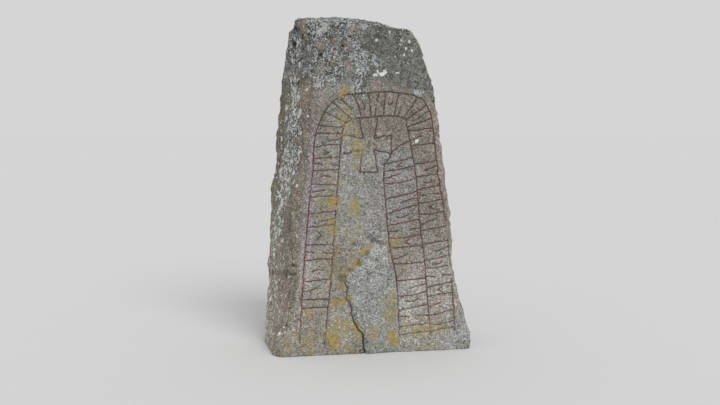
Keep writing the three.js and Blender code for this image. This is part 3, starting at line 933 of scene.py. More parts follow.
@dataclass
class GrowthMap:
    """Works out how densely each growth and stain, and the painted shade and light, cover each point of the
    stone, from 0 to 1.

    Two numbers after a measure say where a zone begins and where it is complete. Heights are above the
    ground, and places across are from the middle of the foot. Plain factors are densities.
    """

    at: Array
    out: Array
    from_left: Array
    from_right: Array
    on_patch: Array
    scar: Scar = Scar()
    blot_edge: tuple[float, float] = (0.5, 1.5)
    dent_edge: tuple[float, float] = (0.4, 1.1)
    dent_darkness: float = 1.4

    def __post_init__(self) -> None:
        """Divides the stone into sides and zones, whose edges wander."""
        self.cover = {growth: np.zeros(len(self.at)) for growth in Growth}
        self.coarse = Waves(Seed.GROWTH, 0.16).at(self.at)
        self.fine = Waves(Seed.GROWTH + 1, 0.05).at(self.at)
        self.wander = 0.02 * self.coarse + 0.009 * self.fine
        self.x, self.y, self.z = self.at.T + self.wander
        self.patchy = smooth(self.coarse, -1, 1.2)

        self.left, self.right = smooth(-self.out[:, 0], *LEFT_FACING), smooth(self.out[:, 0], 0.5, 0.9)
        self.back, self.roof = smooth(self.out[:, 1], 0.4, 0.8), smooth(self.out[:, 2], 0.4, 0.9)
        self.front = smooth(-self.out[:, 1], 0.55, 0.95)
        self.hidden = np.maximum(self.back, self.right)
        behind_chamfer = smooth(self.y, -0.19, -0.12)
        self.flank, self.chamfer = self.left * behind_chamfer, self.left * (1 - behind_chamfer)

        self.top_left = smooth(-self.x, 0.02, 0.08) * self.above(1.54, 1.7)
        self.top_right = smooth(self.x, -0.06, -0.01) * smooth(self.z + 0.3 * self.x, 1.56, 1.68)
        self.low_right = smooth(self.x, 0.36, 0.5) * self.below(0.16, 0.3)
        self.right_edge = self.front * (1 - smooth(self.from_right, 0.04, 0.1)) * self.above(0.5, 0.8)
        self.bare = smooth(Waves(Seed.BARE_PATCHES, 0.085).at(self.at), 0.3, 1.1) * self.top_left
        off_streaks = np.abs(self.y - lerp(0.085, -0.05, self.above(0.4, 1.4)))
        self.streaks = self.flank * (1 - smooth(off_streaks, 0.05, 0.1))
        self.scarred = self.flank * smooth(self.scar.below(self.at), 0, 0.03)

    def above(self, low: float, high: float) -> Array:
        """How much each point belongs above an edge between two heights."""
        return smooth(self.z, low, high)

    def below(self, low: float, high: float) -> Array:
        """How much each point belongs below an edge between two heights."""
        return 1 - smooth(self.z, low, high)

    def fill(self) -> dict[Growth, Array]:
        """Fills the map.

        Returns:
            One array of densities for each growth.
        """
        self.grow_crust()
        self.grow_dark_film()
        self.grow_round_lichens()
        self.grow_olive_and_grass_reflection()
        self.grow_yellow_lichen()
        self.stain_brown()
        self.tinge_violet()
        self.lighten_rock()
        self.stain_rust()
        self.add(Growth.RUNS, self.left, 0.7 * self.right, 0.6 * self.back, 0.5 * self.top_left)
        self.add(Growth.PITS, self.top_left, self.left * self.above(0.9, 1.6), 0.5 * self.hidden)
        # Painted shade under the scar's overhanging edge.
        self.add(GRIME, 0.85 * self.scar.shade(self.at, self.left))
        # Painted shade in the dents.
        self.add(Growth.SHADE, *(self.dent_shade(dent) for dent in DENTS))
        self.add_blots()
        return self.cover

    def grow_crust(self) -> None:
        """The bluish crust: at the top left round bare patches, in the flank's streaks and at the foot."""
        dense = 0.56 - 0.24 * self.bare + 0.08 * self.coarse + 0.06 * self.fine
        self.add(CRUST, self.top_left * dense, 0.66 * self.roof, 0.3 * self.low_right)
        self.add(CRUST, 0.46 * self.streaks * self.above(0.8, 1.2), 0.24 * self.flank * self.below(0.1, 0.3))
        self.add(CRUST, self.hidden * (0.12 + 0.4 * self.patchy * self.above(0.9, 1.5)))

    def grow_dark_film(self) -> None:
        """The dark film: over the top, thickest on the right, and down the upper flank."""
        self.add(DARK, self.top_right * (0.7 + 0.3 * self.above(1.6, 1.8)), 0.7 * self.roof)
        self.add(DARK, self.top_left * (0.9 - 0.7 * self.bare), 0.7 * self.hidden * self.above(1.1, 1.7))
        self.add(DARK, 0.8 * self.flank * self.above(1.45, 1.7), 0.5 * self.streaks * self.above(0.8, 1.3))

    def grow_round_lichens(self) -> None:
        """Round lichens: dense in the flank's streaks and at its foot, thin elsewhere."""
        dense = 0.56 + 0.1 * self.above(0.5, 1.1) - 0.2 * self.above(1.5, 1.75) + 0.14 * self.fine
        self.add(ROUND, self.streaks * dense, 0.28 * self.flank, 0.32 * self.chamfer)
        self.add(ROUND, self.flank * (0.46 + 0.1 * self.fine) * self.below(0.2, 0.4), 0.14 * self.top_right)
        self.add(ROUND, 0.28 * self.right * self.patchy, 0.2 * self.back * self.patchy)

    def grow_olive_and_grass_reflection(self) -> None:
        """The olive film on the flank's far edge and the hidden sides, and a painted reflection of grass just
        above the ground.
        """
        far_edge = smooth(self.y, 0.02, 0.07) * self.above(0.7, 1.0)
        self.add(OLIVE, 0.85 * self.flank * far_edge, 0.4 * self.flank * self.above(0.4, 0.9))
        # Just above the ground: a painted reflection of grass.
        self.add(OLIVE, 0.12 * self.flank, 0.1 * self.chamfer, 0.4 * self.below(0.02, 0.07))
        self.add(OLIVE, self.back * (0.45 + 0.25 * self.patchy), 0.4 * self.right * self.patchy)

    def grow_yellow_lichen(self) -> None:
        """Yellow lichen scattered down the left of the face and along its foot."""
        column = (1 - smooth(np.abs(self.x + 0.17), 0.08, 0.2)) * self.above(0.0, 0.2) * self.below(1.35, 1.5)
        foot = self.below(0.12, 0.4) * (1 - 0.8 * smooth(self.x, 0.4, 0.5))
        scattered = self.front * smooth(0.6 * self.coarse + self.fine, -1.2, 1.2)
        off_patch = 1 - self.on_patch
        self.add(YELLOW, 0.27 * scattered * column * off_patch)
        self.add(YELLOW, 0.36 * scattered * foot * (0.55 + 0.45 * off_patch))

    def stain_brown(self) -> None:
        """Brown rock: round the arch, on the right bands and the left edge, and in bare patches."""
        arch = self.front * smooth(self.x, -0.16, 0.02) * self.above(1.16, 1.3) * self.below(1.54, 1.68)
        right_bands = self.front * smooth(self.x, 0.2, 0.3) * self.above(0.55, 0.85) * self.below(1.5, 1.62)
        left_shoulder = (1 - smooth(self.x, -0.3, -0.16)) * self.above(1.25, 1.4) * self.below(1.6, 1.7)
        left_edge = self.front * (1 - smooth(self.from_left, 0.0, 0.03))
        near_flank = self.flank * smooth(-self.y, -0.05, 0.05)
        self.add(WARM, 0.8 * arch, 0.75 * right_bands, 0.5 * self.front * left_shoulder, 0.45 * left_edge)
        self.add(WARM, 0.9 * self.bare, 0.55 * self.chamfer, 0.55 * near_flank, 0.3 * self.left)
        self.add(WARM, 0.3 * self.hidden * self.patchy)
        self.add(WARM, self.scarred * lerp(0.15, 0.45, self.above(0.15, 0.4)))

    def tinge_violet(self) -> None:
        """A violet tinge: in a strip beside the left edge, along the right edge and on the scar."""
        strip = smooth(self.from_left, 0.006, 0.02) * (1 - smooth(self.from_left, 0.06, 0.085))
        fading = lerp(0.4, 1.0, self.above(0.25, 0.6)) * self.below(1.2, 1.35)
        self.add(VIOLET, self.front * strip * fading, 0.6 * self.right_edge * self.below(1.4, 1.55))
        self.add(VIOLET, 0.6 * self.bare, self.scarred * lerp(0.2, 0.5, self.above(0.15, 0.4)))

    def lighten_rock(self) -> None:
        """Pale and sandy rock: the patch, the lower face, the chamfer and the flank's foot, where the paler
        band is painted light against the shade near the floor.
        """
        right_foot = self.front * smooth(self.x, 0.12, 0.25) * self.below(0.4, 0.7)
        off_patch = 1 - self.on_patch
        self.add(PALE, 0.7 * self.on_patch * self.front, 0.5 * self.low_right, 0.25 * right_foot)
        # Painted light: paler at the flank's foot, against the shade near the floor.
        self.add(PALE, 0.9 * self.flank * self.below(0.06, 0.28))
        self.add(SANDY, 0.55 * self.below(0.4, 0.85) * off_patch * (1 - 0.7 * self.low_right))
        self.add(SANDY, 0.65 * right_foot * (1 - 0.8 * self.low_right), 0.3 * self.right_edge)
        self.add(SANDY, 0.95 * self.flank * self.below(0.5, 1.1), 0.4 * self.flank, 0.75 * self.chamfer)

    def stain_rust(self) -> None:
        """Rust: in flecks on the chamfer and the scar, and more evenly on the chamfer's upper part."""
        upper = self.above(1.2, 1.5) * self.below(1.62, 1.75)
        self.add(RUST, 0.3 * self.chamfer * smooth(self.fine, 0.6, 1.6), 0.35 * self.chamfer * upper)
        self.add(RUST, self.scarred * smooth(self.fine, 0.2, 1.4) * lerp(0.6, 0.4, self.above(0.15, 0.3)))

    def add(self, growth: Growth, *parts: Array) -> None:
        """Raises a growth's cover to each of some parts.

        Args:
            growth: The growth.
            parts: Densities at all points.
        """
        for part in parts:
            self.cover[growth] = np.clip(np.maximum(self.cover[growth], part), 0, 1)

    def add_blots(self) -> None:
        """Adds the named places of the face, which wander less, and the white ones not at all."""
        x, z = self.x - self.wander / 2, self.z - self.wander / 2
        for growth, middle_x, middle_z, wide, tall, density in BLOTS:
            px, pz = (self.at[:, 0], self.at[:, 2]) if growth is WHITE else (x, z)
            away = np.hypot((px - middle_x) / wide, (pz - middle_z) / tall)
            self.add(growth, self.front * density * (1 - smooth(away, *self.blot_edge)))

    def dent_shade(self, dent: Dent) -> Array:
        """How dark the painted shade in a dent makes each point: the steeper it is, the darker."""
        away = np.linalg.norm(self.at - (dent.x, dent.y, dent.z), axis=1)
        low, high = (share * dent.radius for share in self.dent_edge)
        return min(self.dent_darkness * dent.depth / dent.radius, 1) * (1 - smooth(away, low, high))


# The stone's mesh

def sorted_pair(keys: Array, values: Array) -> tuple[Array, Array]:
    """Both arrays in the order of the first."""
    order = np.argsort(keys)
    return keys[order], values[order]


# Names of the attributes that say how near a groove or the crack is, and how red the paint is.
GROOVE, CRACK, REDNESS = "groove", "crack", "paint_redness"
NEAR_REACH = 3.0  # distance at which a groove's nearness ends, in its half widths


class Swell(NamedTuple):
    """One size of roughness: its wave length and how far it moves the face and the sides."""

    size: float
    face: float
    side: float


SWELLS = (
    Swell(0.16, 0.0009, 0.0034),
    Swell(0.065, 0.0010, 0.0018),
    Swell(0.028, 0.0007, 0.0014),
    Swell(0.014, 0.0004, 0.001),
)


class Skin(NamedTuple):
    """Points of the stone's surface: their places, the way out, how much each is face and edge."""

    at: Array
    out: Array
    facing: Array
    edge: Array


class Wall(NamedTuple):
    """Points round the stone before relief: plan, height, height share and the way out in plan."""

    plan: Array
    z: Array
    up: Array
    out: Array


JITTER = 0.24  # how far a grid's points stray, in steps


def hexagonal(low: Array, high: Array, step: float, seed: int) -> Array:
    """Points of a jittered triangular grid over a rectangle.

    Args:
        low: The rectangle's lowest corner.
        high: Its highest corner.
        step: Distance from point to point.
        seed: Fixes the jitter.

    Returns:
        The points.
    """
    rise = step * math.sqrt(3) / 2
    rows, columns = int((high[1] - low[1]) / rise) + 1, int((high[0] - low[0]) / step) + 1
    i, j = np.meshgrid(np.arange(columns), np.arange(rows))
    grid = np.stack([(i + (j % 2) / 2) * step, j * rise], axis=-1).reshape(-1, 2)
    jitter = np.random.default_rng(seed).uniform(-JITTER, JITTER, grid.shape) * step
    return low + grid + jitter


def thinned(points: Array, gap: float) -> Array:
    """Points without those that share a small square with an earlier one, on four shifted grids.

    Args:
        points: The points, the ones to keep first.
        gap: The squares' side.

    Returns:
        The points that are left.
    """
    for shift in ((0, 0), (0.5, 0), (0, 0.5), (0.5, 0.5)):
        square = np.floor(points / gap + shift).astype(np.int64)
        first = np.unique(square, axis=0, return_index=True)[1]
        points = points[np.sort(first)]
    return points


SAME_PLACE = 1e-8  # points of a filling that are closer than this count as one


def filled(rim: Array, inner: Array) -> Array:
    """Triangles that fill a rim.

    Args:
        rim: The rim's points in the plane, anticlockwise.
        inner: Points inside it.

    Returns:
        Triples of numbers: below the rim's length they count its points, and from there the inner ones.
    """
    points = [Vector(p) for p in np.concatenate([rim, inner]).tolist()]
    found = delaunay_2d_cdt(points, [], [list(range(len(rim)))], 1, SAME_PLACE)
    origin = np.array([sources[0] for sources in found[3]])
    return origin[np.array(found[2])]


@dataclass
class RuneStone:
    """The weathered stone: its mesh, with its growths as attributes, and its finish."""

    form: StoneForm = field(default_factory=StoneForm)
    level_step: float = 0.0125
    side_step: float = 0.0145
    back_step: float = 0.019
    chamfer_step: float = 0.009
    face_step: float = 0.0069
    cap_step: float = 0.0105
    groove_step: float = 0.0046
    groove_rows: tuple[float, ...] = (0, 0.5, -0.5, 1.05, -1.05, 1.7, -1.7)
    crack_rows: tuple[float, ...] = (0, 0.4, -0.4, 0.9, -0.9, 1.5, -1.5)
    ledge_rows: tuple[float, ...] = (0.5, -0.5, -1.5)
    clear_of_grooves: float = 2.2
    groove_reach: float = 1.35
    crack_reach: float = 1.5
    foot_levels: tuple[float, ...] = (0, 0.2, 0.5, 1)
    rim_levels: tuple[float, ...] = (1, 0.72, 0.5, 0.32, 0.18, 0.08, 0.02, 0)
    arris_steps: int = 5
    least_gap: float = 0.0018
    ground_gap: float = 1e-6
    hollow_at: tuple[float, float] = (0.004, 0.362)
    hollow_depth: float = 0.011
    hollow_radius: float = 0.110
    waver: float = 0.0011
    chip_reach: float = 0.026
    chip_depth: float = 0.007
    chip_shares: tuple[float, float] = (0.6, 1.35)
    chip_span: tuple[float, float] = (-0.45, 0.2)
    flake_sizes: tuple[float, float] = (0.05, 0.02)
    flakes_from: float = 0.2
    side_worn: float = 0.004
    cap_share: float = 0.98
    relaxed_rings: int = 6
    crack_fades: float = 0.83
    crack_fades_over: tuple[float, float] = (0.1, 0.4)
    paint_fades: float = 0.95
    paint_fades_over: tuple[float, float] = (0.1, 0.32)
    least_red: float = 0.25
    red_fades_over: tuple[float, float] = (0.9, 1.35)
    sharp_angle: float = 70.0

    def __post_init__(self) -> None:
        """Lays out the carving, the crack and the patch."""
        self.patch = RaisedPatch(self.form)
        self.carved = GrooveMap(Carving(self.form).grooves(), self.waver)
        self.cracked = GrooveMap(Crack(self.form).grooves(), 3 * self.waver)

    def columns(self) -> list[int]:
        """Number of columns on each side at the foot, round from the face."""
        corners = self.form.corners(np.zeros(1))[0]
        lengths = np.linalg.norm(np.roll(corners, -1, axis=0) - corners, axis=1)
        steps = (self.face_step, self.side_step, self.back_step, self.side_step, self.chamfer_step)
        return [max(int(length / step), 1) for length, step in zip(lengths, steps)]

    def levels(self) -> tuple[Array, int, int]:
        """Height shares of the rings, and the numbers of the ones between which the face is filled."""
        foot = np.array(self.foot_levels) * self.form.foot_round / self.form.height
        rim = 1 - np.array(self.rim_levels) * self.form.top_round / self.form.height
        count = round((rim[0] - foot[-1]) * self.form.height / self.level_step)
        between = np.linspace(foot[-1], rim[0], count + 1)[1:-1]
        return np.concatenate([foot, between, rim]), len(foot) - 1, len(foot) + len(between)

    def skin_of(self, wall: Wall) -> Skin:
        """Moves points of the wall out and in as the block's unevenness, relief and rounding say.

        Args:
            wall: The points.

        Returns:
            The surface there, before weathering.
        """
        form = self.form
        x, y = wall.plan.T
        z = wall.z
        facing = smooth(-wall.out[:, 1], *form.facing_span)
        uneven = lerp(form.side_uneven, form.face_uneven, facing) * form.uneven(x, y, z)
        top_gap = form.top_over(x, y) - z
        moved = uneven - form.rolled(top_gap, form.top_round) - form.rolled(z, form.foot_round)
        on_face = facing > 0
        moved[on_face] += facing[on_face] * self.relief(x[on_face], z[on_face], (uneven - y)[on_face])
        plan = wall.plan + wall.out * moved[:, None]

        rise = np.clip(1 - top_gap / form.top_round, 0, 1)[:, None]
        out = np.column_stack([wall.out * np.sqrt(1 - rise**2), rise])
        corner_gap = np.linalg.norm(form.corners(wall.up) - wall.plan[:, None], axis=2).min(axis=1)
        edge = np.exp(-((np.minimum(corner_gap, top_gap) / self.chip_reach) ** 2))
        return Skin(np.column_stack([plan, z]), out, facing, edge)

    def relief(self, x: Array, z: Array, face_out: Array) -> Array:
        """How far the face stands out at places of it, with its patch, carving and crack.

        Args:
            x: Across the face.
            z: Up the face.
            face_out: How far forward the plain face lies.

        Returns:
            The relief.
        """
        middle_x, middle_z = np.array(self.hollow_at) * (self.form.face_width, self.form.height)
        away = np.hypot(x - middle_x, z - middle_z)
        relief = self.hollow_depth * (smooth(away, 0, self.hollow_radius) - 1)
        relief = np.maximum(relief, self.patch.relief(x, z, face_out))
        for grooves, reach in ((self.carved, self.groove_reach), (self.cracked, self.crack_reach)):
            away, depth = grooves.nearest(x, z)
            relief -= depth * (1 + np.cos(math.pi * np.clip(away / reach, 0, 1))) / 2
        return relief

    def wall(self) -> tuple[Wall, Array, tuple[int, int], tuple[int, int]]:
        """Points of the rings round the stone.

        Returns:
            The points as grids of (level, column), then which of them the mesh keeps, the two levels and
            the two columns between which the face is filled afresh.
        """
        up, low, high = self.levels()
        columns = self.columns()
        plan = self.form.outline(up, columns, self.arris_steps)
        along = np.roll(plan, -1, axis=1) - np.roll(plan, 1, axis=1)
        along /= np.linalg.norm(along, axis=-1, keepdims=True)
        out = np.stack([along[..., 1], -along[..., 0]], axis=-1)
        z = up[:, None] * self.form.top_over(plan[..., 0], plan[..., 1])
        left, right = self.arris_steps, self.arris_steps + columns[0]
        keep = np.ones(z.shape, bool)
        keep[low + 1 : high, left + 1 : right] = False
        return Wall(plan, z, np.broadcast_to(up[:, None], z.shape), out), keep, (low, high), (left, right)

    def face_points(self, rim: Array, sides: tuple[Array, Array, Array, Array]) -> Array:
        """Places to fill the face with: dense along grooves and the patch's rim, even elsewhere.

        Args:
            rim: The rim of the face.
            sides: Its left, right, bottom and top side, each from low to high or from left to right.

        Returns:
            Places across and up.
        """
        left, right, bottom, top = sides
        ledge = GrooveMap([Groove(np.array(LEDGE_PATH) * self.size(), self.patch.rise / 2, 0)], 0)
        dense = [
            self.cracked.rows(self.crack_rows, self.groove_step),
            self.carved.rows(self.groove_rows, self.groove_step),
            ledge.rows(self.ledge_rows, self.groove_step),
        ]
        even = hexagonal(rim.min(axis=0), rim.max(axis=0), self.face_step, Seed.FACE_GRID)
        clear = np.minimum(self.carved.nearest(*even.T)[0], self.cracked.nearest(*even.T)[0])
        points = thinned(np.concatenate([*dense, even[clear > self.clear_of_grooves]]), self.least_gap)
        x, z = points.T
        margin = self.face_step / 2
        within = (
            (x > np.interp(z, left[:, 1], left[:, 0]) + margin)
            & (x < np.interp(z, right[:, 1], right[:, 0]) - margin)
            & (z > np.interp(x, bottom[:, 0], bottom[:, 1]) + margin)
            & (z < np.interp(x, top[:, 0], top[:, 1]) - margin)
        )
        return points[within]

    def size(self) -> tuple[float, float]:
        """The face's width and the stone's height, of which the drawing gives shares."""
        return self.form.face_width, self.form.height

    def cap(self, rim: Array) -> tuple[Array, Array]:
        """Fills the top.

        Args:
            rim: The top ring's points.

        Returns:
            The inner points, and triangles that number the rim's points first.
        """
        middle = rim.mean(axis=0)
        inner = hexagonal(rim[:, :2].min(axis=0), rim[:, :2].max(axis=0), self.cap_step, Seed.CAP_GRID)

        def polar(points: Array) -> tuple[Array, Array]:
            """Angle and distance from the middle."""
            away = points - middle[:2]
            return np.arctan2(away[:, 1], away[:, 0]), np.linalg.norm(away, axis=1)

        rim_angle, rim_reach = polar(rim[:, :2])
        angle, reach = polar(inner)
        share = reach / np.interp(angle, *sorted_pair(rim_angle, rim_reach), period=2 * math.pi)
        inner, share = inner[share < self.cap_share], share[share < self.cap_share]
        x, y = inner.T
        form = self.form
        dome = form.top_dome * (1 - share**2)
        bumps = form.side_uneven * (1 - share) * form.uneven(x, y, form.height)
        z = form.top_over(x, y) + dome + bumps
        return np.column_stack([inner, z]), filled(rim[:, :2], inner)

    def surface(self) -> tuple[Skin, list[Array]]:
        """The whole surface before weathering.

        Returns:
            Its points, and its faces as arrays of quads and triangles.
        """
        grid, keep, (low, high), (left, right) = self.wall()
        number = np.full(keep.shape, -1)
        number[keep] = np.arange(keep.sum())
        wall = Wall(*(part[keep] for part in grid))
        skin = self.skin_of(wall)

        a, b = number[:-1], np.roll(number[:-1], -1, axis=1)
        c, d = np.roll(number[1:], -1, axis=1), number[1:]
        open_face = np.zeros(a.shape, bool)
        open_face[low:high, left:right] = True
        quads = np.stack([a, b, c, d], axis=-1)[~open_face]

        loop = np.concatenate([
            number[low, left : right + 1],
            number[low + 1 : high, right],
            number[high, left : right + 1][::-1],
            number[low + 1 : high, left][::-1],
        ])
        across_up = np.column_stack([wall.plan[:, 0], wall.z])
        sides = (
            across_up[number[low : high + 1, left]],
            across_up[number[low : high + 1, right]],
            across_up[number[low, left : right + 1]],
            across_up[number[high, left : right + 1]],
        )
        inner = self.face_points(across_up[loop], sides)
        x, z = inner.T
        up = self.form.share_up(x, z)
        plan = np.column_stack([x, self.form.face_line(up)])
        face = self.skin_of(Wall(plan, z, up, np.tile([0.0, -1.0], (len(x), 1))))
        first_inner = len(wall.z)
        lookup = np.concatenate([loop, first_inner + np.arange(len(x))])
        face_triangles = lookup[filled(across_up[loop], inner)]

        for passes, ring in enumerate(number[-self.relaxed_rings :], 1):
            for _ in range(passes):
                at = skin.at[ring, :2]
                skin.at[ring, :2] = (np.roll(at, 1, axis=0) + 2 * at + np.roll(at, -1, axis=0)) / 4
        rim = number[-1]
        cap_at, cap_triangles = self.cap(skin.at[rim])
        first_cap = first_inner + len(x)
        lookup = np.concatenate([rim, first_cap + np.arange(len(cap_at))])
        up_out = np.tile([0.0, 0.0, 1.0], (len(cap_at), 1))
        flat = np.zeros(len(cap_at))
        cap = Skin(cap_at, up_out, flat, flat)

        foot = first_cap + len(cap_at)
        ring = number[0]
        foot_triangles = np.column_stack([np.roll(ring, -1), ring, np.full(len(ring), foot)])
        middle = Skin(np.zeros((1, 3)), np.array([[0.0, 0.0, -1.0]]), np.zeros(1), np.zeros(1))
        whole = Skin(*(np.concatenate(parts) for parts in zip(skin, face, cap, middle)))
        return whole, [quads, face_triangles, lookup[cap_triangles], foot_triangles]

    def weathered(self, skin: Skin) -> Array:
        """Roughens the surface and chips its edges.

        Args:
            skin: The surface, in its final place.

        Returns:
            The moved points. The underside stays flat.
        """
        at = skin.at
        rough = lerp(-self.side_worn, 0, skin.facing)
        for i, swell in enumerate(SWELLS):
            rough += lerp(swell.side, swell.face, skin.facing) * Waves(Seed.SWELLS + i, swell.size).at(at)
        large, small = (Waves(Seed.FLAKES + i, size).at(at) for i, size in enumerate(self.flake_sizes))
        flakes = np.maximum(large - self.flakes_from, 0) + 0.5 * np.maximum(small, 0)
        chipped = self.chip_depth * lerp(*self.chip_shares, smooth(at[:, 0], *self.chip_span))
        rough -= skin.edge * flakes * chipped
        rough -= Scar().set_back(at, smooth(-skin.out[:, 0], *LEFT_FACING))
        for dent in DENTS:
            away = np.linalg.norm(at - (dent.x, dent.y, dent.z), axis=1)
            rough -= dent.depth * (1 - smooth(away, 0, dent.radius))
        on_ground = at[:, 2] < self.ground_gap
        moved = at + skin.out * rough[:, None]
        moved[on_ground, 2] = 0
        return moved

    def build(self) -> Object:
        """Makes the stone's mesh with its growths as attributes.

        Returns:
            The stone, dressed and riding on the part's body.
        """
        skin, faces = self.surface()
        cad_middle = (np.array(cad_box[0]) + np.array(cad_box[1])) / 2
        shift = cad_middle - (skin.at.min(axis=0) + skin.at.max(axis=0)) / 2
        shift[2] = 0
        log.info("the drawing's middle is moved by %s", shift.round(4))
        drawn = skin.at
        skin = skin._replace(at=drawn + shift)
        moved = self.weathered(skin)

        mesh = bpy.data.meshes.new("weathered_stone")
        mesh.from_pydata(moved.tolist(), [], [face for part in faces for face in part.tolist()])
        mesh.shade_smooth()
        mesh.set_sharp_from_angle(angle=math.radians(self.sharp_angle))
        self.add_attributes(mesh, skin, drawn)
        mesh.validate()
        log.info("the stone has %d triangles", sum(len(part) * (part.shape[1] - 2) for part in faces))

        stone = bpy.data.objects.new("weathered_stone", mesh)
        bpy.context.scene.collection.objects.link(stone)
        stone.data.materials.append(StoneFinish().material())
        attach(stone, "root")
        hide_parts("rune_stone")
        return stone

    def add_attributes(self, mesh: bpy.types.Mesh, skin: Skin, drawn: Array) -> None:
        """Stores how near each point lies to a groove or crack, and how each growth covers it.

        Args:
            mesh: The stone's mesh.
            skin: The surface in its final place.
            drawn: The surface's points in the drawing's own place.
        """
        x, _, z = drawn.T
        up = self.form.share_up(x, np.clip(z, 0, self.form.height))
        left_x, right_x = self.form.corners(up)[:, :2, 0].T
        on_face = skin.facing > 0.5
        nearness = {GROOVE: self.carved, CRACK: self.cracked}
        values = {name: np.zeros(len(x)) for name in nearness}
        for name, grooves in nearness.items():
            away = grooves.nearest(x[on_face], z[on_face])[0]
            values[name][on_face] = np.clip(1 - away / NEAR_REACH, 0, 1)
        values[CRACK] *= lerp(1.0, self.crack_fades, smooth(z, *self.crack_fades_over))
        values[GROOVE] *= lerp(self.paint_fades, 1.0, smooth(z, *self.paint_fades_over))
        on_patch = smooth(self.patch.inside(x, z), -0.004, 0.01)
        growths = GrowthMap(skin.at, skin.out, x - left_x, right_x - x, on_patch).fill()
        values |= {growth.value: cover for growth, cover in growths.items()}
        values[REDNESS] = lerp(1.0, self.least_red, smooth(skin.at[:, 2], *self.red_fades_over))
        for name, value in values.items():
            mesh.attributes.new(name, "FLOAT", "POINT").data.foreach_set("value", value.astype(np.float32))


# Shader nodes as Python expressions

class Signal:
    """A number that changes over the surface. Python expressions on it add Math nodes."""

    def __init__(self, nodes: "NodeMaker", socket: NodeSocket) -> None:
        """Wraps a socket of a material."""
        self.nodes = nodes
        self.socket = socket

    def __add__(self, other: "Signal | float") -> "Signal":
        """The sum."""
        return self.nodes.math("ADD", self, other)

    def __sub__(self, other: "Signal | float") -> "Signal":
        """The difference."""
        return self.nodes.math("SUBTRACT", self, other)

    def __rsub__(self, other: float) -> "Signal":
        """A number less this one."""
        return self.nodes.math("SUBTRACT", other, self)

    def __mul__(self, other: "Signal | float") -> "Signal":
        """The product."""
        return self.nodes.math("MULTIPLY", self, other)

    __radd__ = __add__
    __rmul__ = __mul__

    def __abs__(self) -> "Signal":
        """The size without its sign."""
        return self.nodes.math("ABSOLUTE", self)

    def at_least(self, other: "Signal | float") -> "Signal":
        """The larger of the two."""
        return self.nodes.math("MAXIMUM", self, other)

    def eased(self, low: float, high: float) -> "Signal":
        """Eases from 0 at low to 1 at high."""
        inputs = {"Value": self, "From Min": low, "From Max": high}
        return self.nodes.signal("ShaderNodeMapRange", {"interpolation_type": "SMOOTHSTEP"}, inputs)


class NodeMaker:
    """Adds nodes to one material."""

    mix_factor, mix_a, mix_b, mix_result = 0, 6, 7, 2
    noise_share = 0.6  # how wide a noise's patches are, as a share of its own step

    def __init__(self, material: Material) -> None:
        """Empties the material's tree and notes where its surface lies."""
        self.tree = material.node_tree
        self.tree.nodes.clear()
        self.place = self.add("ShaderNodeTexCoord").outputs["Object"]

    def add(self, kind: str, settings: dict | None = None, inputs: dict | None = None) -> Node:
        """Adds one node.

        Args:
            kind: The node's type.
            settings: What is set first: properties of the node, or "stops" of a ramp.
            inputs: Values or links of its sockets, by name or number.

        Returns:
            The node.
        """
        node = self.tree.nodes.new(kind)
        for name, value in (settings or {}).items():
            if name == "stops":
                self.set_stops(node, value)
            else:
                setattr(node, name, value)
        for name, value in (inputs or {}).items():
            source = value.socket if isinstance(value, Signal) else value
            if isinstance(source, NodeSocket):
                self.tree.links.new(source, node.inputs[name])
            else:
                node.inputs[name].default_value = source
        return node

    @staticmethod
    def set_stops(node: Node, stops: Sequence[tuple[float, Colour]]) -> None:
        """Sets a ramp's colours."""
        elements = node.color_ramp.elements
        while len(elements) < len(stops):
            elements.new(0.5)
        for element, (position, colour) in zip(elements, stops):
            element.position = position
            element.color = (*colour, 1)

    def signal(self, kind: str, settings: dict | None = None, inputs: dict | None = None) -> Signal:
        """Adds a node and wraps its first output."""
        return Signal(self, self.add(kind, settings, inputs).outputs[0])

    def math(self, operation: str, *values: Signal | float) -> Signal:
        """Adds a Math node."""
        return self.signal("ShaderNodeMath", {"operation": operation}, dict(enumerate(values)))

    def cover(self, name: str) -> Signal:
        """A mesh attribute."""
        node = self.add("ShaderNodeAttribute", {"attribute_type": "GEOMETRY", "attribute_name": name})
        return Signal(self, node.outputs["Fac"])

    def noise(
        self, size: float, detail: float = 2.0, roughness: float = 0.55, upright: float = 1.0
    ) -> Signal:
        """Cloudy noise.

        Args:
            size: About how wide its patches are.
            detail: How many finer noises it adds.
            roughness: How strong they are.
            upright: How many times its patches are taller than wide.

        Returns:
            The noise, from 0 to 1.
        """
        place = self.place
        if upright != 1:
            settings, inputs = {"operation": "MULTIPLY"}, {0: place, 1: (1.0, 1.0, 1 / upright)}
            place = self.add("ShaderNodeVectorMath", settings, inputs).outputs[0]
        scale = self.noise_share / size
        inputs = {"Vector": place, "Scale": scale, "Detail": detail, "Roughness": roughness}
        return self.signal("ShaderNodeTexNoise", None, inputs)

    def cells(self, size: float) -> tuple[Signal, Signal]:
        """Cells one size wide: the distance from each cell's middle, and a tone that each cell has whole."""
        inputs = {"Vector": self.place, "Scale": 1 / size}
        node = self.add("ShaderNodeTexVoronoi", None, inputs)
        tone = self.signal("ShaderNodeSeparateColor", None, {"Color": node.outputs["Color"]})
        return Signal(self, node.outputs["Distance"]), tone

    def mixed(
        self, a: NodeSocket | Colour, b: NodeSocket | Colour, share: Signal, way: str = "MIX"
    ) -> NodeSocket:
        """Mixes two colours.

        Args:
            a: The first colour.
            b: The second.
            share: How much of the second.
            way: How they mix.

        Returns:
            The mixed colour.
        """
        first, second = ((*end, 1.0) if isinstance(end, tuple) else end for end in (a, b))
        settings = {"data_type": "RGBA", "blend_type": way}
        inputs = {self.mix_factor: share, self.mix_a: first, self.mix_b: second}
        return self.add("ShaderNodeMix", settings, inputs).outputs[self.mix_result]

    def ramp(self, value: Signal, stops: Sequence[tuple[float, Colour]]) -> NodeSocket:
        """Colours by a number."""
        return self.add("ShaderNodeValToRGB", {"stops": stops}, {"Fac": value}).outputs["Color"]


# Finishes

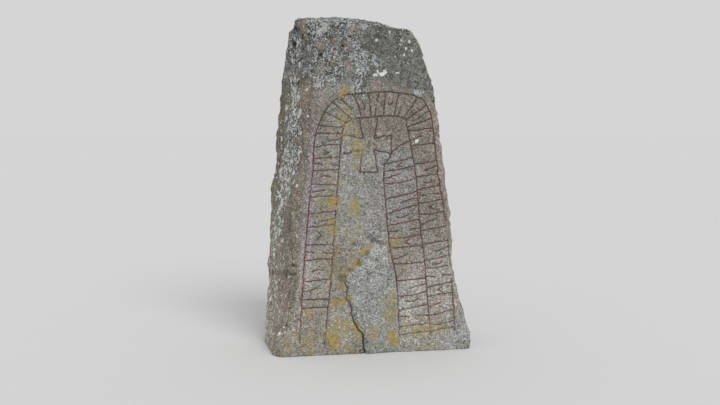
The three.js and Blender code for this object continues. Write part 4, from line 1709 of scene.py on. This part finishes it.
@dataclass
class Coat:
    """What the layers laid so far give the shader: colour, roughness and relief in metres."""

    colour: NodeSocket
    roughness: Signal
    relief: Signal

    def cover(self, nodes: NodeMaker, colour: NodeSocket | Colour, share: Signal) -> None:
        """Covers the colour with another."""
        self.colour = nodes.mixed(self.colour, colour, share)

    def tint(self, nodes: NodeMaker, colour: Colour, share: Signal) -> None:
        """Tints the colour by multiplying it."""
        self.colour = nodes.mixed(self.colour, colour, share, "MULTIPLY")


@dataclass(frozen=True)
class Granite:
    """Bare weathered granite: crystals under a film of dirt."""

    crystal: float = 0.006
    film: float = 0.012
    cloud: float = 0.075
    dark: Colour = (0.045, 0.042, 0.034)
    grey: Colour = (0.163, 0.158, 0.138)
    light: Colour = (0.29, 0.286, 0.265)
    pale: Colour = (0.56, 0.555, 0.535)
    depth: float = 0.0018
    finer: float = 0.6
    dull: float = 0.92

    def laid(self, nodes: NodeMaker) -> Coat:
        """Lays the bare rock.

        Args:
            nodes: The material's nodes.

        Returns:
            The first coat.
        """
        crystals = nodes.cells(self.crystal)[1]
        fine = nodes.cells(self.crystal * self.finer)[1]
        film = nodes.noise(self.film, 3, 0.65).eased(0.28, 0.72)
        cloud = nodes.noise(self.cloud, 2).eased(0.3, 0.7)
        tone = 0.46 * crystals + 0.32 * fine + 0.14 * film + 0.08 * cloud
        stops = ((0.1, self.dark), (0.36, self.grey), (0.62, self.light), (0.92, self.pale))
        roughness = self.dull - 0.2 * fine.eased(0.8, 1.0)
        return Coat(nodes.ramp(tone, stops), roughness, self.depth * tone)


@dataclass(frozen=True)
class Stain:
    """A tint that soaks the rock, stronger in some patches than in others."""

    growth: Growth
    tint: Colour
    even: float = 0.6
    patch: float = 0.026

    def lay(self, nodes: NodeMaker, coat: Coat) -> None:
        """Tints a coat."""
        patches = nodes.noise(self.patch, 3, 0.65).eased(0.3, 0.68)
        soaked = self.even + (1 - self.even) * patches
        coat.tint(nodes, self.tint, nodes.cover(self.growth.value) * soaked)


@dataclass(frozen=True)
class RunMarks:
    """Dark upright marks where water runs down."""

    width: float = 0.014
    upright: float = 6.0
    tint: Colour = (0.62, 0.6, 0.56)

    def lay(self, nodes: NodeMaker, coat: Coat) -> None:
        """Darkens the marks."""
        marks = nodes.noise(self.width, 3, 0.6, self.upright).eased(0.5, 0.66)
        coat.tint(nodes, self.tint, marks * nodes.cover(Growth.RUNS.value))


@dataclass(frozen=True)
class Crust:
    """A growth in flecks that stand in clumps where a noise passes what its density leaves."""

    growth: Growth
    fleck: float
    colours: tuple[Colour, Colour]
    ground: Colour = (1.0, 1.0, 1.0)
    clump: float = 4.5
    edge: float = 0.22
    thickness: float = 0.0008
    opacity: float = 0.9
    gain: float = 1.0

    def lay(self, nodes: NodeMaker, coat: Coat) -> None:
        """Lays the flecks, with the rock between them darkened.

        Args:
            nodes: The material's nodes.
            coat: The coat to cover.
        """
        density = nodes.cover(self.growth.value)
        flecks = nodes.noise(self.fleck, 2.5, 0.6).eased(0.3, 0.7)
        clumps = nodes.noise(self.fleck * self.clump, 2, 0.6).eased(0.3, 0.7)
        shown = (0.68 * flecks + 0.32 * clumps + self.gain * density - 1.0).eased(0.0, self.edge)
        shade = nodes.noise(self.fleck * 0.7, 2).eased(0.3, 0.7)
        coat.tint(nodes, self.ground, density.eased(0.25, 0.7))
        coat.cover(nodes, nodes.mixed(*self.colours, shade), shown * self.opacity)
        coat.relief = coat.relief + self.thickness * shown
        coat.roughness = coat.roughness.at_least(0.95 * shown)


@dataclass(frozen=True)
class DarkFilm:
    """A dark grey-green film, speckled and veined with pale."""

    dark: Colour = (0.026, 0.028, 0.024)
    middle: Colour = (0.09, 0.093, 0.081)
    vein: Colour = (0.28, 0.285, 0.255)
    size: float = 0.014
    speck: float = 0.0062
    cloud: float = 0.0196
    ragged: float = 0.03
    opacity: float = 0.88
    thickness: float = 0.0005

    def lay(self, nodes: NodeMaker, coat: Coat) -> None:
        """Lays the film."""
        density = nodes.cover(DARK.value)
        veins = 1 - abs(nodes.noise(self.size, 3, 0.7) - 0.5).eased(0.0, 0.05)
        clouds = nodes.noise(self.cloud, 3, 0.7).eased(0.3, 0.7)
        grain = 0.65 * nodes.cells(self.speck)[1] + 0.35 * clouds
        film = nodes.ramp(grain, ((0.2, self.dark), (0.5, self.middle), (0.85, self.vein)))
        film = nodes.mixed(film, self.vein, 0.3 * veins)
        shown = density * 1.3 - 0.3 * nodes.noise(self.ragged, 3, 0.65).eased(0.3, 0.7)
        coat.cover(nodes, film, shown.eased(0.05, 0.85) * self.opacity)
        coat.relief = coat.relief + self.thickness * (veins * density)


@dataclass(frozen=True)
class RoundLichens:
    """Round whitish lichens, each a disc of its own size."""

    size: float = 0.034
    sizes: tuple[float, ...] = (1.0, 0.55, 0.3)
    colour: Colour = (0.76, 0.78, 0.75)
    core: Colour = (0.36, 0.38, 0.355)
    ragged: float = 0.35
    opacity: float = 0.92
    thickness: float = 0.0008

    def lay(self, nodes: NodeMaker, coat: Coat) -> None:
        """Lays discs of each size."""
        density = nodes.cover(ROUND.value)
        for share in self.sizes:
            size = self.size * share
            away, tone = nodes.cells(size)
            edge = away + self.ragged * (nodes.noise(size / 4, 3, 0.65) - 0.5)
            radius = 0.5 * (tone + density - 1.0).at_least(0.0).eased(0.0, 0.3)
            disc = (radius - edge).eased(0.0, 0.12)
            colour = nodes.mixed(self.core, self.colour, nodes.noise(size / 6, 3, 0.7).eased(0.34, 0.55))
            coat.cover(nodes, colour, disc * self.opacity)
            coat.relief = coat.relief + self.thickness * disc


@dataclass(frozen=True)
class OldPaint:
    """Dark red paint deep in the grooves, worn, and browner high on the stone."""

    red: Colour = (0.115, 0.028, 0.038)
    brown: Colour = (0.05, 0.038, 0.03)
    smudge: Colour = (0.84, 0.74, 0.74)
    edge: tuple[float, float] = (0.78, 0.94)
    smudge_edge: tuple[float, float] = (0.5, 0.8)
    ragged: float = 0.16
    ragged_size: float = 0.008
    worn_size: float = 0.022
    faded_size: float = 0.13
    fresh_size: float = 0.17

    def lay(self, nodes: NodeMaker, coat: Coat) -> None:
        """Paints the grooves, with a faint smudge beside the paint."""
        near = nodes.cover(GROOVE) + self.ragged * (nodes.noise(self.ragged_size, 2) - 0.5)
        kept = nodes.noise(self.worn_size, 3, 0.65).eased(0.28, 0.5)
        strong = nodes.noise(self.faded_size, 1).eased(0.35, 0.6)
        fresh = nodes.noise(self.fresh_size, 1).eased(0.36, 0.52) * 0.65 + 0.35
        colour = nodes.mixed(self.brown, self.red, nodes.cover(REDNESS) * fresh)
        coat.tint(nodes, self.smudge, near.eased(*self.smudge_edge) * 0.6)
        coat.cover(nodes, colour, near.eased(*self.edge) * (0.6 + 0.24 * kept + 0.16 * strong))


@dataclass(frozen=True)
class Shadows:
    """Painted shade in the crack, in small holes and pits, in the hollow and under the ledge, with the darker
    film high on the right.
    """

    painted_shade: Colour = (0.032, 0.028, 0.023)
    grime: Colour = (0.42, 0.41, 0.4)
    crack_edge: tuple[float, float] = (0.68, 0.95)
    ragged: float = 0.1
    ragged_size: float = 0.009
    pit_size: float = 0.015
    pit_depth: float = 0.0015

    def lay(self, nodes: NodeMaker, coat: Coat) -> None:
        """Paints shade into the crack, the holes and the pits, and darkens the map of darker film and painted
        shade.
        """
        # Darker film high on the right, and painted shade in the hollow over the patch, under the ledge and
        # under the scar's edge.
        coat.tint(nodes, self.grime, nodes.cover(GRIME.value) * 0.95)
        near = nodes.cover(CRACK) + self.ragged * (nodes.noise(self.ragged_size, 2) - 0.5)
        pits = nodes.noise(self.pit_size, 1.5).eased(0.64, 0.71) * nodes.cover(Growth.PITS.value)
        holes = nodes.cover(Growth.SHADE.value).eased(0.25, 0.8)
        # Painted shade: near-black in the crack, the dents and the pits.
        painted_shade_share = (0.8 * near.eased(*self.crack_edge)).at_least(0.93 * holes).at_least(0.85 * pits)
        coat.cover(nodes, self.painted_shade, painted_shade_share)
        coat.relief = coat.relief - self.pit_depth * pits


@dataclass(frozen=True)
class StoneFinish:
    """The stone's whole finish, layer on layer."""

    granite: Granite = Granite()
    layers: tuple = (
        # Pale rock, with painted light on the patch's top and at the flank's foot.
        Stain(PALE, (1.36, 1.42, 1.5)),
        # Sandy rock, with painted light on the patch's top.
        Stain(SANDY, (1.42, 1.33, 1.2)),
        Stain(WARM, (0.78, 0.68, 0.57)),
        Stain(VIOLET, (1.23, 1.13, 1.23)),
        # Olive film, with a painted reflection of grass just above the ground.
        Stain(OLIVE, (0.6, 0.57, 0.42)),
        Stain(RUST, (0.95, 0.62, 0.42)),
        RunMarks(),
        DarkFilm(),
        Crust(
            CRUST,
            fleck=0.0056,
            colours=((0.14, 0.15, 0.15), (0.61, 0.63, 0.64)),
            ground=(0.4, 0.39, 0.36),
            edge=0.17,
        ),
        RoundLichens(),
        OldPaint(),
        Crust(
            YELLOW,
            fleck=0.0065,
            colours=((0.23, 0.19, 0.09), (0.33, 0.275, 0.115)),
            clump=2.5,
            edge=0.2,
            thickness=0.0003,
            opacity=0.62,
            gain=1.6,
        ),
        Crust(
            YELLOW,
            fleck=0.0075,
            colours=((0.33, 0.235, 0.04), (0.48, 0.36, 0.06)),
            ground=(0.97, 0.94, 0.8),
            clump=2.5,
            edge=0.16,
            thickness=0.0005,
            gain=0.95,
        ),
        Crust(WHITE, fleck=0.012, colours=((0.55, 0.57, 0.52), (0.76, 0.78, 0.73)), edge=0.12),
        Shadows(),
    )

    def material(self) -> Material:
        """Makes the material.

        Returns:
            The material.
        """
        material = bpy.data.materials.new("weathered_granite")
        material.use_nodes = True
        nodes = NodeMaker(material)
        coat = self.granite.laid(nodes)
        for layer in self.layers:
            layer.lay(nodes, coat)
        bump = nodes.add("ShaderNodeBump", None, {"Strength": 1.0, "Distance": 1.0, "Height": coat.relief})
        inputs = {"Base Color": coat.colour, "Roughness": coat.roughness, "Normal": bump.outputs[0]}
        shader = nodes.add("ShaderNodeBsdfPrincipled", None, inputs)
        nodes.add("ShaderNodeOutputMaterial", None, {"Surface": shader.outputs[0]})
        return material


# The studio

@dataclass
class Studio:
    """A wide pale floor under an even sky of the same tone, one soft light from above and the camera."""

    floor_radius: float = 60.0
    floor_sides: int = 96
    floor_tone: float = 0.655
    sky: float = 0.665
    sun_strength: float = 1.6
    sun_softness: float = 32.0
    sun_down: float = 42.0
    sun_right: float = 18.0
    camera_at: Place = (-0.916, -5.204, 1.41)
    camera_down: float = 5.7
    camera_right: float = 9.6
    focal_px: float = 868.0
    image_width_px: int = 720
    sensor_width: float = 36.0

    def floor(self) -> Object:
        """Makes the floor.

        Returns:
            The floor.
        """
        turns = np.linspace(0, 2 * math.pi, self.floor_sides, endpoint=False)
        rim = np.column_stack([np.cos(turns), np.sin(turns), 0 * turns]) * self.floor_radius
        mesh = bpy.data.meshes.new("floor")
        mesh.from_pydata(rim.tolist(), [], [list(range(len(rim)))])
        material = bpy.data.materials.new("pale_floor")
        material.use_nodes = True
        nodes = NodeMaker(material)
        inputs = {"Base Color": (self.floor_tone,) * 3 + (1.0,), "Roughness": 1.0, "Specular IOR Level": 0.0}
        shader = nodes.add("ShaderNodeBsdfPrincipled", None, inputs)
        nodes.add("ShaderNodeOutputMaterial", None, {"Surface": shader.outputs[0]})
        mesh.materials.append(material)
        floor = bpy.data.objects.new("floor", mesh)
        bpy.context.scene.collection.objects.link(floor)
        return floor

    def light(self) -> None:
        """Lights the scene with an even sky and one soft light."""
        world = bpy.data.worlds.new("studio")
        world.use_nodes = True
        background = world.node_tree.nodes["Background"]
        background.inputs["Color"].default_value = (self.sky, self.sky, self.sky, 1.0)
        background.inputs["Strength"].default_value = 1.0
        bpy.context.scene.world = world
        bpy.context.scene.view_settings.view_transform = "Standard"
        data = bpy.data.lights.new("soft_sun", "SUN")
        data.energy = self.sun_strength
        data.angle = math.radians(self.sun_softness)
        sun = bpy.data.objects.new("soft_sun", data)
        sun.rotation_euler = (math.radians(90 - self.sun_down), 0, math.radians(self.sun_right))
        bpy.context.scene.collection.objects.link(sun)

    def camera(self) -> Object:
        """Places the camera.

        Returns:
            The camera.
        """
        data = bpy.data.cameras.new("camera")
        data.sensor_width = self.sensor_width
        data.lens = self.sensor_width * self.focal_px / self.image_width_px
        camera = bpy.data.objects.new("camera", data)
        camera.location = self.camera_at
        camera.rotation_euler = (math.radians(90 - self.camera_down), 0, -math.radians(self.camera_right))
        bpy.context.scene.collection.objects.link(camera)
        bpy.context.scene.camera = camera
        return camera


def main() -> None:
    """Builds the stone and its studio."""
    logging.basicConfig(level=logging.INFO, format="%(name)s: %(message)s")
    studio = Studio()
    for made in (studio.camera(), RuneStone().build(), studio.floor()):
        log.info("made %s", made.name)
    studio.light()


if __name__ == "__main__":
    main()
